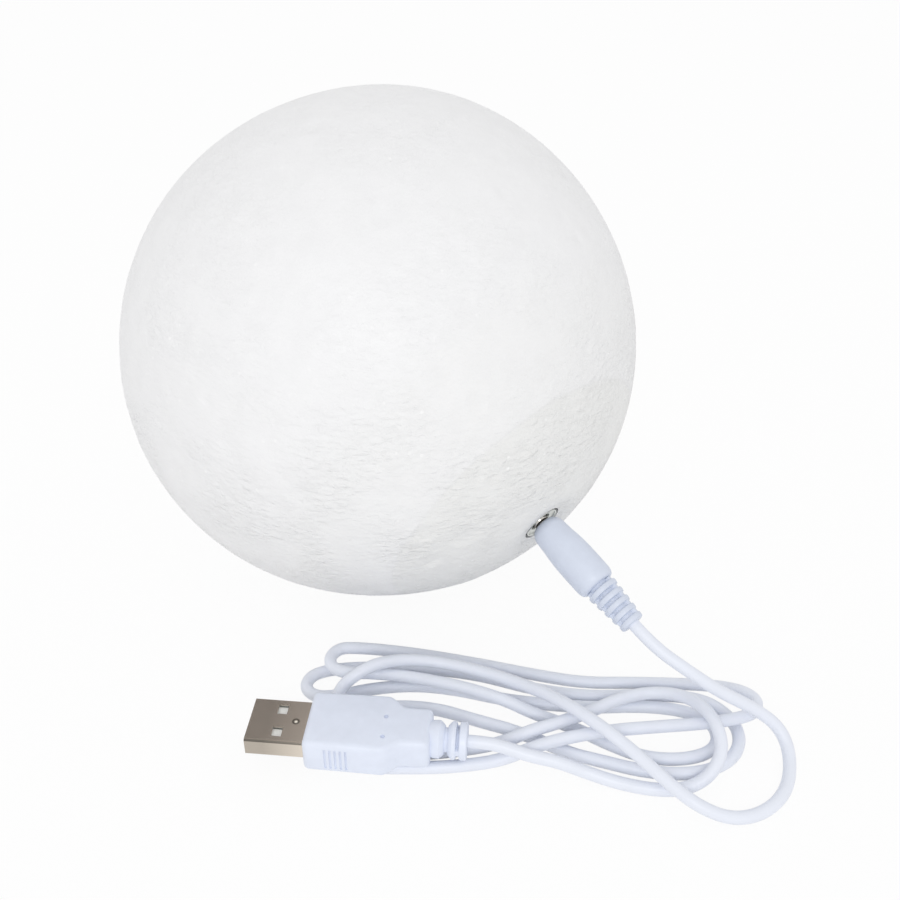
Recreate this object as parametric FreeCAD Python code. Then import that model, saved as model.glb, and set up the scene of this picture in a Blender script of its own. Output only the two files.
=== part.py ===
import FreeCAD, Part

import math
import os

from FreeCAD import Placement, Rotation, Vector

# A moon lamp: a translucent printed globe that stands on the floor, with a rechargeable light
# module glued behind a cap in its side. The jack in the middle of the cap takes a thin charging
# cord, whose spare length lies folded in front of the globe and ends in a USB-A plug.
# Millimetres. +Z is up and the origin is the globe's contact point with the floor. The USB plug
# points along -X, and the jack faces right, forward and a little down.

# Cutters run this far past the faces that they open.
PAST = 1.0

# ---- globe ----
GLOBE_D = 120.0
SHELL_WALL = 1.8
SEAM_MARGIN = 2.26

# ---- where the jack faces ----
JACK_HEADING = -41.5
JACK_PITCH = -23.0

# ---- cap and its fittings, measured along the jack's axis ----
GLUE_GAP = 0.05
LAP_THICK = 1.2
LAP_ANGLE = 3.2
RING_HOLE_R = 4.8
DIMPLE_R = 9.0
DIMPLE_DEPTH = 1.0
DISH_SAG = 0.12
BOSS_WALL = 3.2
BOSS_THICK = 2.6
LEDGE_W = 2.6
LEDGE_DROP = 1.6

# ---- touch ring and jack ----
RING_GAP = 0.2
INSULATOR_WALL = 0.35
INSULATOR_FLOOR = 0.8
RING_THICK = 0.8
RING_LIP_W = 0.4
RING_LIP_H = 0.4
RING_BORE_R = 2.5
JACK_R = 4.2
JACK_LENGTH = 10.6
SLEEVE_WALL = 0.3
SLEEVE_LENGTH = 4.5
RUN_CLEAR = 0.05
PIN_D = 1.3
PIN_BASE = 2.0
PIN_TIP_BACK = 1.5

# ---- charging plug ----
BARREL_D = 3.5
BARREL_WALL = 0.4
BARREL_LENGTH = 9.5
BARREL_SHOWS = 0.8
CONTACT_WALL = 0.3
PLUG_FRONT = 3.0
PLUG_BODY = 18.4
# The grip's half section, as (distance behind its face, radius).
PLUG_SHAPE = (
    (0.0, 2.6), (1.0, 3.4), (2.2, 3.85), (6.5, 4.25), (10.5, 4.5), (17.0, 4.45), (PLUG_BODY, 3.8),
)
RELIEF_LENGTH = 11.0
RELIEF_BIG_R = 3.65
RELIEF_SMALL_R = 2.85
RELIEF_CORE_R = 2.3
RELIEF_RIBS = 5
RELIEF_SLOT = 0.45

# ---- light module ----
CUP_WALL = 1.6
CUP_DEPTH = 20.0
LID_THICK = 2.0
BOARD_GAP = 2.9
BOARD_THICK = 1.6
BOARD_SEAT = 3.0
POST_COUNT = 3
POST_ANGLE = 60.0
POST_R = 2.6
POST_EDGE = 0.4
WEB_CLEAR = 0.5
SCREW_R = 1.1
SCREW_HEAD_R = 2.1
SCREW_HEAD = 1.3
SCREW_LENGTH = 5.0
BATTERY_W = 28.0
BATTERY_L = 31.0
BATTERY_T = 6.0
TAPE_T = 0.8
TAPE_MARGIN = 4.0
LED_BOARD_R = 18.0
LED_BOARD_THICK = 1.2
LED_COUNT = 6
LED_CIRCLE = 12.0
LED_SIZE = 3.5
LED_THICK = 1.4
CHIP_W = 5.0
CHIP_L = 4.0
CHIP_T = 1.5
CHIP_X = 14.0
CHIP_STEP = 9.0
INDUCTOR_R = 3.0
INDUCTOR_T = 3.0
INDUCTOR_Y = 15.0
CAPACITOR_L = 2.0
CAPACITOR_W = 1.2
CAPACITOR_COUNT = 3
CAPACITOR_SPACES = 5
CAPACITOR_ANGLE = 150.0
CAPACITOR_CIRCLE = 11.0
WIRE_D = 1.0
WIRE_STEP = 2.2
WIRE_CLOSE = 0.7
WIRE_BEND = 2.6
WIRE_HOLE_R = 2.4

# ---- USB plug ----
USB_W = 12.0
USB_H = 4.5
USB_SHEET = 0.3
USB_OUT = 12.5
USB_SUNK = 3.0
USB_NOSE_X = -19.0
USB_Y = -74.0
USB_WINDOW_L = 2.1
USB_WINDOW_W = 2.6
USB_WINDOW_X = 6.5
USB_WINDOW_STEP = 6.2
USB_DIMPLE_R = 1.6
USB_DIMPLE_X = 9.9
TONGUE_T = 1.85
TONGUE_BACK = 0.8
CONTACT_W = 1.1
CONTACT_T = 0.1
CONTACT_BACK = 1.2
CONTACT_L = 7.0
CONTACT_PLACES = (-3.5, -1.0, 1.0, 3.5)
MOULD_W = 15.2
MOULD_H = 8.4
MOULD_FRONT = 17.0
MOULD_SHOULDER = 3.1
MOULD_REAR = 6.3
MOULD_REAR_W = 10.6
MOULD_REAR_H = 7.8
MOULD_ROUND = 1.4
GRIP_RIBS = 5
GRIP_STEP = 1.1
GRIP_W = 0.5
GRIP_DEPTH = 0.3
GRIP_H = 5.6
GRIP_X = 4.65
USB_RELIEF = 7.6
USB_RELIEF_R = 4.0
USB_RELIEF_CORE = 2.6
# Where each ring of the strain relief starts and ends, behind the grip.
USB_RINGS = ((0.0, 2.8), (3.4, 5.3), (5.9, USB_RELIEF))

# ---- cord ----
CORD_D = 2.8
LAYER_RISE = 3.3
PLUG_LIFT = 0.2
ARC_REACH = 0.45
JACK_END_STRAIGHT = 2.3
USB_END_STRAIGHT = 1.7
TINY = 0.001

GLOBE_R = GLOBE_D / 2
INNER_R = GLOBE_R - SHELL_WALL
CENTRE = Vector(0, 0, GLOBE_R)
UP = Vector(0, 0, 1)
PITCH = math.radians(JACK_PITCH)
HEADING = math.radians(JACK_HEADING)
JACK_AXIS = Vector(
    math.cos(PITCH) * math.cos(HEADING),
    math.cos(PITCH) * math.sin(HEADING),
    math.sin(PITCH),
)
TO_JACK = Placement(CENTRE, Rotation(UP, JACK_AXIS))

# The module is as wide as its cell, posts and board need, and the cap's seam lies outside it.
POST_CIRCLE = math.hypot(BATTERY_W, BATTERY_L) / 2 + WEB_CLEAR + POST_R
BOARD_R = POST_CIRCLE + POST_R + POST_EDGE
MODULE_R = BOARD_R + BOARD_GAP + CUP_WALL
SEAM_ANGLE = math.degrees(math.asin(MODULE_R / INNER_R)) + SEAM_MARGIN

# Heights along the jack's axis, from the globe's centre outwards.
HOLE_RIM = GLOBE_R - DIMPLE_DEPTH
BOSS_BACK = HOLE_RIM - BOSS_THICK
RING_FACE = HOLE_RIM - RING_LIP_H
RING_BACK = RING_FACE - RING_THICK
INSULATOR_BACK = RING_BACK - INSULATOR_FLOOR
JACK_BACK = INSULATOR_BACK - JACK_LENGTH
BOARD_TOP = JACK_BACK
BOARD_BACK = BOARD_TOP - BOARD_THICK
SEAT = math.sqrt(INNER_R ** 2 - MODULE_R ** 2) - LEDGE_DROP
CUP_BACK = SEAT - CUP_DEPTH
LID_BACK = CUP_BACK - LID_THICK
LED_BOARD_BACK = LID_BACK - LED_BOARD_THICK
PLUG_FACE = RING_FACE + BARREL_SHOWS
BARREL_TIP = PLUG_FACE - BARREL_LENGTH
PLUG_TAIL = PLUG_FACE + PLUG_BODY
CORD_EXIT = PLUG_TAIL + RELIEF_LENGTH
JACK_BORE_R = BARREL_D / 2 + RUN_CLEAR
CONTACT_BORE_R = PIN_D / 2 + RUN_CLEAR
CONTACT_R = CONTACT_BORE_R + CONTACT_WALL

# The USB plug lies on two strands of the cord, so its underside clears one cord's thickness.
MOULD_BOTTOM = CORD_D + PLUG_LIFT
USB_Z = MOULD_BOTTOM + MOULD_H / 2
MOULD_NOSE_X = USB_NOSE_X + USB_OUT
MOULD_SHOULDER_X = MOULD_NOSE_X + MOULD_FRONT
MOULD_REAR_X = MOULD_SHOULDER_X + MOULD_SHOULDER
MOULD_TAIL_X = MOULD_REAR_X + MOULD_REAR
USB_EXIT_X = MOULD_TAIL_X + USB_RELIEF


def save(node, shape):
    if not shape.isValid() or shape.Volume <= 0:
        raise ValueError(node + " is not a sound solid")
    shape.exportStep("parts/" + node + ".step")


def on_jack(shape):
    """Moves a shape drawn about +Z, from the globe's centre, onto the jack's axis."""
    moved = shape.copy()
    moved.Placement = TO_JACK.multiply(moved.Placement)
    return moved


def cylinder(radius, low, high, x=0.0, y=0.0):
    return Part.makeCylinder(radius, high - low, Vector(x, y, low), UP)


def tube(outer, inner, low, high):
    return cylinder(outer, low, high).cut(cylinder(inner, low - PAST, high + PAST))


def block(width, depth, low, high, x=0.0, y=0.0):
    corner = Vector(x - width / 2, y - depth / 2, low)
    return Part.makeBox(width, depth, high - low, corner)


def spun(edges):
    """A solid of revolution about Z from the edges of a closed half section."""
    face = Part.Face(Part.Wire(edges))
    return face.revolve(Vector(0, 0, 0), UP, 360)


def line(a, b):
    return Part.LineSegment(a, b).toShape()


def on_sphere(radius, angle):
    """A point of the half section, the angle in degrees from the jack's axis."""
    turn = math.radians(angle)
    return Vector(radius * math.sin(turn), 0, radius * math.cos(turn))


def sphere_arc(radius, start, end):
    middle = (start + end) / 2
    arc = Part.Arc(on_sphere(radius, start), on_sphere(radius, middle), on_sphere(radius, end))
    return arc.toShape()


def angle_at(radius, across):
    """The angle from the jack's axis at which a sphere is this far from that axis."""
    return math.degrees(math.asin(across / radius))


def group(shapes):
    return Part.makeCompound(shapes)


def round_about(count, circle, start=0.0):
    """Places spaced evenly on a circle round the jack's axis."""
    places = []
    for number in range(count):
        turn = math.radians(start + 360.0 * number / count)
        places.append((circle * math.cos(turn), circle * math.sin(turn)))
    return places


# ---- globe ----

def moon_shell():
    """The globe's wall, from the cap's seam round to the far pole of the jack's axis."""
    edges = [
        sphere_arc(GLOBE_R, SEAM_ANGLE, 180),
        line(on_sphere(GLOBE_R, 180), on_sphere(INNER_R, 180)),
        sphere_arc(INNER_R, 180, SEAM_ANGLE),
        line(on_sphere(INNER_R, SEAM_ANGLE), on_sphere(GLOBE_R, SEAM_ANGLE)),
    ]
    return on_jack(spun(edges))


def base_cap():
    """The cap over the light module, in one outline: the dished outside, the jack's boss, the
    module's ledge and the lap that is glued under the globe's edge."""
    lap_out = INNER_R - GLUE_GAP
    lap_in = lap_out - LAP_THICK
    lap_end = SEAM_ANGLE + LAP_ANGLE
    boss_r = RING_HOLE_R + BOSS_WALL
    ledge_in = MODULE_R - LEDGE_W
    rim = angle_at(GLOBE_R, DIMPLE_R)
    boss_top = angle_at(INNER_R, boss_r)
    ledge_top = angle_at(INNER_R, ledge_in)
    lap_start = angle_at(lap_in, MODULE_R)
    dish_top = on_sphere(GLOBE_R, rim)
    dish_foot = Vector(RING_HOLE_R, 0, HOLE_RIM)
    dish_middle = (dish_top + dish_foot) * 0.5 - UP * (DISH_SAG * DIMPLE_DEPTH)
    corners = [
        dish_foot,
        Vector(RING_HOLE_R, 0, BOSS_BACK),
        Vector(boss_r, 0, BOSS_BACK),
        on_sphere(INNER_R, boss_top),
    ]
    ledge = [
        on_sphere(INNER_R, ledge_top),
        Vector(ledge_in, 0, SEAT),
        Vector(MODULE_R, 0, SEAT),
        on_sphere(lap_in, lap_start),
    ]
    edges = [sphere_arc(GLOBE_R, SEAM_ANGLE, rim), Part.Arc(dish_top, dish_middle, dish_foot).toShape()]
    edges += [line(a, b) for a, b in zip(corners, corners[1:])]
    edges.append(sphere_arc(INNER_R, boss_top, ledge_top))
    edges += [line(a, b) for a, b in zip(ledge, ledge[1:])]
    edges.append(sphere_arc(lap_in, lap_start, lap_end))
    edges.append(line(on_sphere(lap_in, lap_end), on_sphere(lap_out, lap_end)))
    edges.append(sphere_arc(lap_out, lap_end, SEAM_ANGLE))
    edges.append(line(on_sphere(lap_out, SEAM_ANGLE), on_sphere(GLOBE_R, SEAM_ANGLE)))
    return on_jack(spun(edges))


# ---- touch ring and jack ----

def ring_insulator():
    """A thin plastic cup in the cap's hole that keeps the touch ring off the cap."""
    outer = RING_HOLE_R - GLUE_GAP
    wall = tube(outer, outer - INSULATOR_WALL, INSULATOR_BACK, RING_FACE)
    floor = tube(outer - INSULATOR_WALL, RING_BORE_R, INSULATOR_BACK, RING_BACK)
    return on_jack(wall.fuse(floor).removeSplitter())


def touch_ring():
    outer = RING_HOLE_R - GLUE_GAP - INSULATOR_WALL - RING_GAP
    plate = tube(outer, RING_BORE_R, RING_BACK, RING_FACE)
    lip = tube(outer, outer - RING_LIP_W, RING_FACE, RING_FACE + RING_LIP_H)
    return on_jack(plate.fuse(lip).removeSplitter())


def jack_body():
    """The jack's plastic body, with the bore for the plug and a seat for the centre pin."""
    body = cylinder(JACK_R, JACK_BACK, INSULATOR_BACK)
    bore = cylinder(JACK_BORE_R, BARREL_TIP - PAST, INSULATOR_BACK + PAST)
    pocket = cylinder(JACK_BORE_R + SLEEVE_WALL, BARREL_TIP, BARREL_TIP + SLEEVE_LENGTH)
    pin_seat = cylinder(PIN_D / 2 + RUN_CLEAR, JACK_BACK + PIN_BASE, BARREL_TIP)
    return on_jack(body.cut(bore).cut(pocket).cut(pin_seat))


def jack_sleeve_contact():
    """The sprung metal sleeve that the plug's barrel touches."""
    outer = JACK_BORE_R + SLEEVE_WALL
    return on_jack(tube(outer, JACK_BORE_R, BARREL_TIP, BARREL_TIP + SLEEVE_LENGTH))


def jack_centre_pin():
    tip = INSULATOR_BACK - PIN_TIP_BACK
    pin = cylinder(PIN_D / 2, JACK_BACK + PIN_BASE, tip - PIN_D / 2)
    nose = Part.makeSphere(PIN_D / 2, Vector(0, 0, tip - PIN_D / 2))
    return on_jack(pin.fuse(nose).removeSplitter())


# ---- charging plug ----

def dc_barrel():
    outer = BARREL_D / 2
    return on_jack(tube(outer, outer - BARREL_WALL, BARREL_TIP, PLUG_FACE + PLUG_FRONT))


def dc_insulator():
    outer = BARREL_D / 2 - BARREL_WALL
    return on_jack(tube(outer, CONTACT_R, BARREL_TIP, PLUG_FACE + PLUG_FRONT))


def dc_centre_contact():
    return on_jack(tube(CONTACT_R, CONTACT_BORE_R, BARREL_TIP, PLUG_FACE + PLUG_FRONT))


def dc_plug_body():
    """The moulded grip: a blunt nose, a long swell and a rounded back, over the barrel."""
    outline = [Vector(radius, 0, PLUG_FACE + behind) for behind, radius in PLUG_SHAPE]
    outline = [Vector(0, 0, PLUG_FACE)] + outline + [Vector(0, 0, PLUG_TAIL)]
    body = spun([line(a, b) for a, b in zip(outline, outline[1:] + outline[:1])])
    return on_jack(body.cut(cylinder(BARREL_D / 2, PLUG_FACE - PAST, PLUG_FACE + PLUG_FRONT)))


def dc_strain_relief():
    """Ribs that shrink towards the cord, on one flexible core."""
    pitch = RELIEF_LENGTH / RELIEF_RIBS
    pieces = [cylinder(RELIEF_CORE_R, PLUG_TAIL, CORD_EXIT)]
    for number in range(RELIEF_RIBS):
        share = number / (RELIEF_RIBS - 1)
        radius = RELIEF_BIG_R + (RELIEF_SMALL_R - RELIEF_BIG_R) * share
        foot = PLUG_TAIL + pitch * (number + RELIEF_SLOT)
        pieces.append(cylinder(radius, foot, PLUG_TAIL + pitch * (number + 1)))
    return on_jack(pieces[0].fuse(pieces[1:]).removeSplitter())


# ---- light module ----

def housing_cup():
    """The module's cup: its rim sits on the cap's ledge, and its posts carry board and lid."""
    cup = cylinder(MODULE_R, CUP_BACK, SEAT)
    hollow = cylinder(MODULE_R - CUP_WALL, CUP_BACK, SEAT + PAST)
    cup = cup.cut(hollow)
    web = tube(MODULE_R - CUP_WALL / 2, POST_CIRCLE - POST_R, BOARD_BACK - BOARD_SEAT, BOARD_BACK)
    cup = cup.fuse(web)
    for x, y in round_about(POST_COUNT, POST_CIRCLE, POST_ANGLE):
        cup = cup.fuse(cylinder(POST_R, CUP_BACK, BOARD_BACK, x, y))
        cup = cup.cut(cylinder(SCREW_R, BOARD_BACK - SCREW_LENGTH, BOARD_BACK, x, y))
        cup = cup.cut(cylinder(SCREW_R, CUP_BACK, CUP_BACK + SCREW_LENGTH, x, y))
    return on_jack(cup.removeSplitter())


def housing_lid():
    """The white plate that closes the cup and carries the lights, facing the globe's middle."""
    lid = cylinder(MODULE_R, LID_BACK, CUP_BACK)
    for x, y in round_about(POST_COUNT, POST_CIRCLE, POST_ANGLE):
        lid = lid.cut(cylinder(SCREW_R, LID_BACK - PAST, CUP_BACK + PAST, x, y))
    lid = lid.cut(cylinder(WIRE_HOLE_R, LID_BACK - PAST, CUP_BACK + PAST))
    return on_jack(lid)


def screw(x, y, seat, direction):
    """A pan-head screw whose head rests on the seat; direction points from head to tip."""
    shank_end = seat + direction * SCREW_LENGTH
    head_end = seat - direction * SCREW_HEAD
    shank = cylinder(SCREW_R, min(seat, shank_end), max(seat, shank_end), x, y)
    head = cylinder(SCREW_HEAD_R, min(seat, head_end), max(seat, head_end), x, y)
    return shank.fuse(head).removeSplitter()


def board_screws():
    places = round_about(POST_COUNT, POST_CIRCLE, POST_ANGLE)
    return on_jack(group([screw(x, y, BOARD_TOP, -1) for x, y in places]))


def lid_screws():
    places = round_about(POST_COUNT, POST_CIRCLE, POST_ANGLE)
    return on_jack(group([screw(x, y, LID_BACK, 1) for x, y in places]))


def main_pcb():
    board = cylinder(BOARD_R, BOARD_BACK, BOARD_TOP)
    for x, y in round_about(POST_COUNT, POST_CIRCLE, POST_ANGLE):
        board = board.cut(cylinder(SCREW_R, BOARD_BACK - PAST, BOARD_TOP + PAST, x, y))
    return on_jack(board)


def control_chips():
    """The charging chip and the touch dimmer chip, side by side on the board."""
    chips = []
    for side in (-0.5, 0.5):
        chips.append(block(CHIP_W, CHIP_L, BOARD_TOP, BOARD_TOP + CHIP_T, CHIP_X, side * CHIP_STEP))
    return on_jack(group(chips))


def inductor():
    return on_jack(cylinder(INDUCTOR_R, BOARD_TOP, BOARD_TOP + INDUCTOR_T, 0, INDUCTOR_Y))


def capacitors():
    small = []
    places = round_about(CAPACITOR_SPACES, CAPACITOR_CIRCLE, CAPACITOR_ANGLE)
    for x, y in places[:CAPACITOR_COUNT]:
        small.append(block(CAPACITOR_L, CAPACITOR_W, BOARD_TOP, BOARD_TOP + CAPACITOR_W, x, y))
    return on_jack(group(small))


def battery_back():
    """The height of the cell's inner face: it hangs by its tape under the board."""
    return BOARD_BACK - TAPE_T - BATTERY_T


def battery_tape():
    tape = block(BATTERY_W - TAPE_MARGIN, BATTERY_L - TAPE_MARGIN, BOARD_BACK - TAPE_T, BOARD_BACK)
    return on_jack(tape)


def battery_cell():
    """A flat lithium cell with rounded long sides."""
    low = battery_back()
    side = BATTERY_T / 2
    core = block(BATTERY_W - BATTERY_T, BATTERY_L, low, low + BATTERY_T)
    for sign in (-1, 1):
        foot = Vector(sign * (BATTERY_W / 2 - side), -BATTERY_L / 2, low + side)
        core = core.fuse(Part.makeCylinder(side, BATTERY_L, foot, Vector(0, 1, 0)))
    return on_jack(core.removeSplitter())


def bent_wire(points):
    """A wire of round section along straight runs joined by tangent arcs."""
    return sweep(route(points), points, WIRE_D)


def battery_wire(side):
    """One lead of the cell: out of its end and straight up to the board."""
    x = side * WIRE_STEP
    edge = BATTERY_L / 2
    middle = battery_back() + BATTERY_T / 2
    points = [
        Vector(x, edge, middle),
        Vector(x, edge + WIRE_BEND, middle),
        Vector(x, edge + WIRE_BEND, BOARD_BACK),
    ]
    return on_jack(bent_wire(points))


def led_wire(side):
    """One lead from the board's back, beside the cell, to the hole in the lid."""
    apart = side * WIRE_STEP
    close = side * WIRE_CLOSE
    beside = -BATTERY_L / 2 - WIRE_BEND
    low = CUP_BACK + WIRE_BEND
    points = [
        Vector(apart, beside, BOARD_BACK),
        Vector(apart, beside, battery_back()),
        Vector((apart + close) / 2, beside + 2 * WIRE_BEND, low),
        Vector(close, -WIRE_BEND, low),
        Vector(close, 0, LID_BACK),
    ]
    return on_jack(bent_wire(points))


def touch_wire():
    """The thin wire from the board up to the touch ring's seat, beside the jack."""
    ring_x = RING_HOLE_R + BOSS_WALL + WIRE_D
    points = [
        Vector(-ring_x, 0, BOARD_TOP),
        Vector(-ring_x, 0, (BOARD_TOP + BOSS_BACK) / 2),
        Vector(-RING_HOLE_R, 0, BOSS_BACK - WIRE_D),
    ]
    return on_jack(bent_wire(points))


def led_board():
    board = cylinder(LED_BOARD_R, LED_BOARD_BACK, LID_BACK)
    return on_jack(board.cut(cylinder(WIRE_HOLE_R, LED_BOARD_BACK - PAST, LID_BACK + PAST)))


def led_chips():
    low = LED_BOARD_BACK - LED_THICK
    places = round_about(LED_COUNT, LED_CIRCLE)
    return on_jack(group([block(LED_SIZE, LED_SIZE, low, LED_BOARD_BACK, x, y) for x, y in places]))


# ---- USB plug ----

def rounded_bar(x0, x1, width, height, radius):
    """A bar along X, centred on the USB plug's axis, with its long edges rounded."""
    low = Vector(x0, USB_Y - width / 2, USB_Z - height / 2)
    bar = Part.makeBox(x1 - x0, width, height, low)
    long_edges = []
    for edge in bar.Edges:
        along = edge.Vertexes[1].Point - edge.Vertexes[0].Point
        if abs(along.y) + abs(along.z) < TINY:
            long_edges.append(edge)
    return bar.makeFillet(radius, long_edges)


def usb_shell():
    """The folded metal sleeve, with two latch windows above and below and a small dimple."""
    back = MOULD_NOSE_X + USB_SUNK
    sleeve = rounded_bar(USB_NOSE_X, back, USB_W, USB_H, 2 * USB_SHEET)
    inside = rounded_bar(
        USB_NOSE_X - PAST, back + PAST, USB_W - 2 * USB_SHEET, USB_H - 2 * USB_SHEET, USB_SHEET
    )
    sleeve = sleeve.cut(inside)
    window_x = USB_NOSE_X + USB_WINDOW_X
    for side in (-0.5, 0.5):
        y = USB_Y + side * USB_WINDOW_STEP
        low = Vector(window_x - USB_WINDOW_L / 2, y - USB_WINDOW_W / 2, USB_Z - USB_H)
        sleeve = sleeve.cut(Part.makeBox(USB_WINDOW_L, USB_WINDOW_W, 2 * USB_H, low))
    spot = Vector(USB_NOSE_X + USB_DIMPLE_X, USB_Y, USB_Z + USB_H / 2)
    return sleeve.cut(Part.makeSphere(USB_DIMPLE_R, spot + UP * (USB_DIMPLE_R - USB_SHEET / 2)))


def usb_tongue():
    """The plastic tongue in the lower half of the sleeve, which carries the contacts."""
    start = USB_NOSE_X + TONGUE_BACK
    floor = USB_Z - USB_H / 2 + USB_SHEET
    width = USB_W - 4 * USB_SHEET
    slab = Part.makeBox(
        MOULD_NOSE_X - start, width, TONGUE_T, Vector(start, USB_Y - width / 2, floor)
    )
    height = USB_H - 2 * USB_SHEET
    plug_low = Vector(MOULD_NOSE_X - TONGUE_T, USB_Y - width / 2, floor)
    return slab.fuse(Part.makeBox(TONGUE_T, width, height, plug_low)).removeSplitter()


def usb_contacts():
    """Four gold strips on top of the tongue."""
    top = USB_Z - USB_H / 2 + USB_SHEET + TONGUE_T
    start = USB_NOSE_X + TONGUE_BACK + CONTACT_BACK
    strips = []
    for place in CONTACT_PLACES:
        low = Vector(start, USB_Y + place - CONTACT_W / 2, top)
        strips.append(Part.makeBox(CONTACT_L, CONTACT_W, CONTACT_T, low))
    return group(strips)


def usb_overmould():
    """The moulded grip: a wide front, sloping shoulders, a narrower back and ribbed sides."""
    front = rounded_bar(MOULD_NOSE_X, MOULD_SHOULDER_X, MOULD_W, MOULD_H, MOULD_ROUND)
    rear = rounded_bar(MOULD_REAR_X, MOULD_TAIL_X, MOULD_REAR_W, MOULD_REAR_H, MOULD_ROUND)
    ends = []
    for bar, x in ((front, MOULD_SHOULDER_X), (rear, MOULD_REAR_X)):
        for face in bar.Faces:
            if abs(face.CenterOfMass.x - x) < TINY:
                ends.append(face.OuterWire)
    slope = Part.makeLoft(ends, True, True)
    mould = front.fuse([slope, rear]).removeSplitter()
    for number in range(GRIP_RIBS):
        x = MOULD_NOSE_X + GRIP_X + number * GRIP_STEP
        for side in (-1, 1):
            y = USB_Y + side * MOULD_W / 2 - GRIP_DEPTH
            low = Vector(x, y, USB_Z - GRIP_H / 2)
            mould = mould.cut(Part.makeBox(GRIP_W, 2 * GRIP_DEPTH, GRIP_H, low))
    back = MOULD_NOSE_X + USB_SUNK
    return mould.cut(rounded_bar(MOULD_NOSE_X - PAST, back, USB_W, USB_H, 2 * USB_SHEET))


def usb_strain_relief():
    """A thick collar, a ring and a disc round the cord, on one flexible core."""
    towards = Vector(1, 0, 0)
    base = Vector(MOULD_TAIL_X, USB_Y, USB_Z)
    relief = Part.makeCylinder(USB_RELIEF_CORE, USB_RELIEF, base, towards)
    for start, end in USB_RINGS:
        foot = base + towards * start
        relief = relief.fuse(Part.makeCylinder(USB_RELIEF_R, end - start, foot, towards))
    return relief.removeSplitter()


# ---- cord ----
# Points of the cord's middle line as (x, y, layer). Layer 0 lies on the floor, and each whole
# layer is one crossing higher. The names follow the cord from the jack to the USB plug.

LEAD = [
    (72.4, -60.6, 5.45), (79.8, -61.6, 4.0), (87.5, -61.0, 2.6), (93.6, -61.9, 1.4),
    (96.2, -65.9, 0.3), (94.8, -75.0, 0.0), (89.6, -81.6, 0.0), (82.7, -84.3, 0.0),
]
TOP_STRAND = [
    (75.5, -83.8, 0.72), (69.2, -79.6, 1.27), (62.3, -73.9, 1.9), (54.6, -67.9, 2.3),
    (47.1, -61.8, 2.15), (39.5, -56.0, 1.5), (30.3, -52.0, 1.27), (19.2, -49.9, 1.36),
    (10.6, -51.3, 1.8), (4.8, -55.1, 2.3), (0.6, -57.9, 1.9),
]
FOLD_UNDER_PLUG = [
    (-2.4, -59.5, 1.15), (-4.2, -66.0, 0.02), (-4.6, -72.0, 0.0), (-1.2, -77.0, 0.0),
    (6.0, -78.0, 0.0),
]
LOW_STRAND = [
    (16.8, -77.2, 0.0), (25.8, -75.9, 0.0), (34.5, -73.5, 0.0), (41.1, -71.7, 0.82),
    (47.0, -69.4, 1.06), (56.6, -66.2, 1.06), (67.4, -64.0, 1.06), (78.2, -61.9, 1.03),
    (85.3, -60.0, 1.06), (89.4, -57.8, 1.06), (90.5, -54.0, 1.03), (87.5, -50.8, 0.88),
]
FAR_STRAND = [
    (81.9, -48.3, 0.42), (74.3, -47.1, 0.0), (62.8, -47.9, 0.02), (52.1, -49.0, 0.02),
    (39.8, -47.3, 0.0), (28.1, -45.2, 0.0), (14.9, -43.4, 0.0), (5.4, -43.7, 0.3),
    (-0.8, -45.9, 0.97), (-4.6, -46.6, 1.06), (-6.6, -49.6, 1.06), (-5.6, -53.0, 1.06),
    (-2.0, -54.5, 1.06),
]
SECOND_STRAND = [
    (3.5, -53.9, 1.06), (11.6, -54.1, 1.06), (23.2, -55.8, 1.06), (34.2, -58.5, 0.9),
    (40.7, -60.4, 0.36), (50.3, -62.8, 0.0), (58.3, -67.1, 0.0), (65.5, -69.8, 0.0),
    (73.2, -69.6, 0.0), (79.3, -67.1, 0.0), (81.6, -62.9, 0.0), (80.3, -58.1, 0.0),
]
THIRD_STRAND = [
    (74.2, -55.2, 0.0), (64.8, -54.9, 0.02), (53.7, -56.5, 0.0), (42.4, -56.4, 0.0),
    (33.4, -55.8, 0.0), (24.1, -53.9, 0.0), (13.7, -53.3, 0.0), (3.6, -55.5, 0.0),
    (-3.3, -58.4, 0.0), (-8.6, -59.2, 0.0), (-11.6, -56.0, 0.0), (-9.9, -51.7, 0.0),
]
FOURTH_STRAND = [
    (-3.2, -49.5, 0.0), (6.0, -48.3, 0.0), (16.6, -47.9, 0.0), (28.3, -48.7, 0.0),
    (41.2, -52.2, 0.0), (53.7, -53.2, 0.0), (65.0, -51.5, 0.02), (77.1, -50.9, 0.0),
    (83.3, -54.3, 0.0), (86.4, -60.5, 0.0), (85.0, -67.1, 0.0), (79.7, -71.7, 0.0),
]
FIFTH_STRAND = [
    (72.4, -73.7, 0.0), (64.1, -73.4, 0.0), (55.7, -71.5, 0.0), (49.3, -70.2, 0.0),
    (38.1, -65.1, 0.0), (28.2, -62.6, 0.0), (19.7, -60.1, 0.0), (10.5, -60.0, 0.0),
    (2.8, -62.5, 0.0), (0.2, -67.8, 0.0), (2.8, -72.4, 0.0), (10.5, -73.8, 0.0),
]
ARCHED_STRAND = [
    (20.0, -73.0, 0.0), (31.6, -69.8, 0.0), (36.7, -68.9, 0.58), (40.5, -68.0, 1.15),
    (45.8, -65.4, 1.12), (53.4, -61.0, 1.06), (60.1, -56.2, 1.06), (67.2, -53.7, 1.06),
    (73.6, -55.1, 1.42), (77.5, -60.2, 2.12), (80.0, -65.3, 2.15), (81.0, -70.2, 1.6),
    (79.3, -74.3, 1.03), (76.4, -76.5, 0.42),
]
PLUG_STRAND = [
    (72.2, -77.7, 0.0), (66.6, -78.2, 0.0), (59.4, -77.1, 0.0), (53.1, -75.9, 0.3),
    (46.7, -75.5, 1.0), (40.8, -75.2, 1.25), (36.3, -74.4, 1.5),
]


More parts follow.
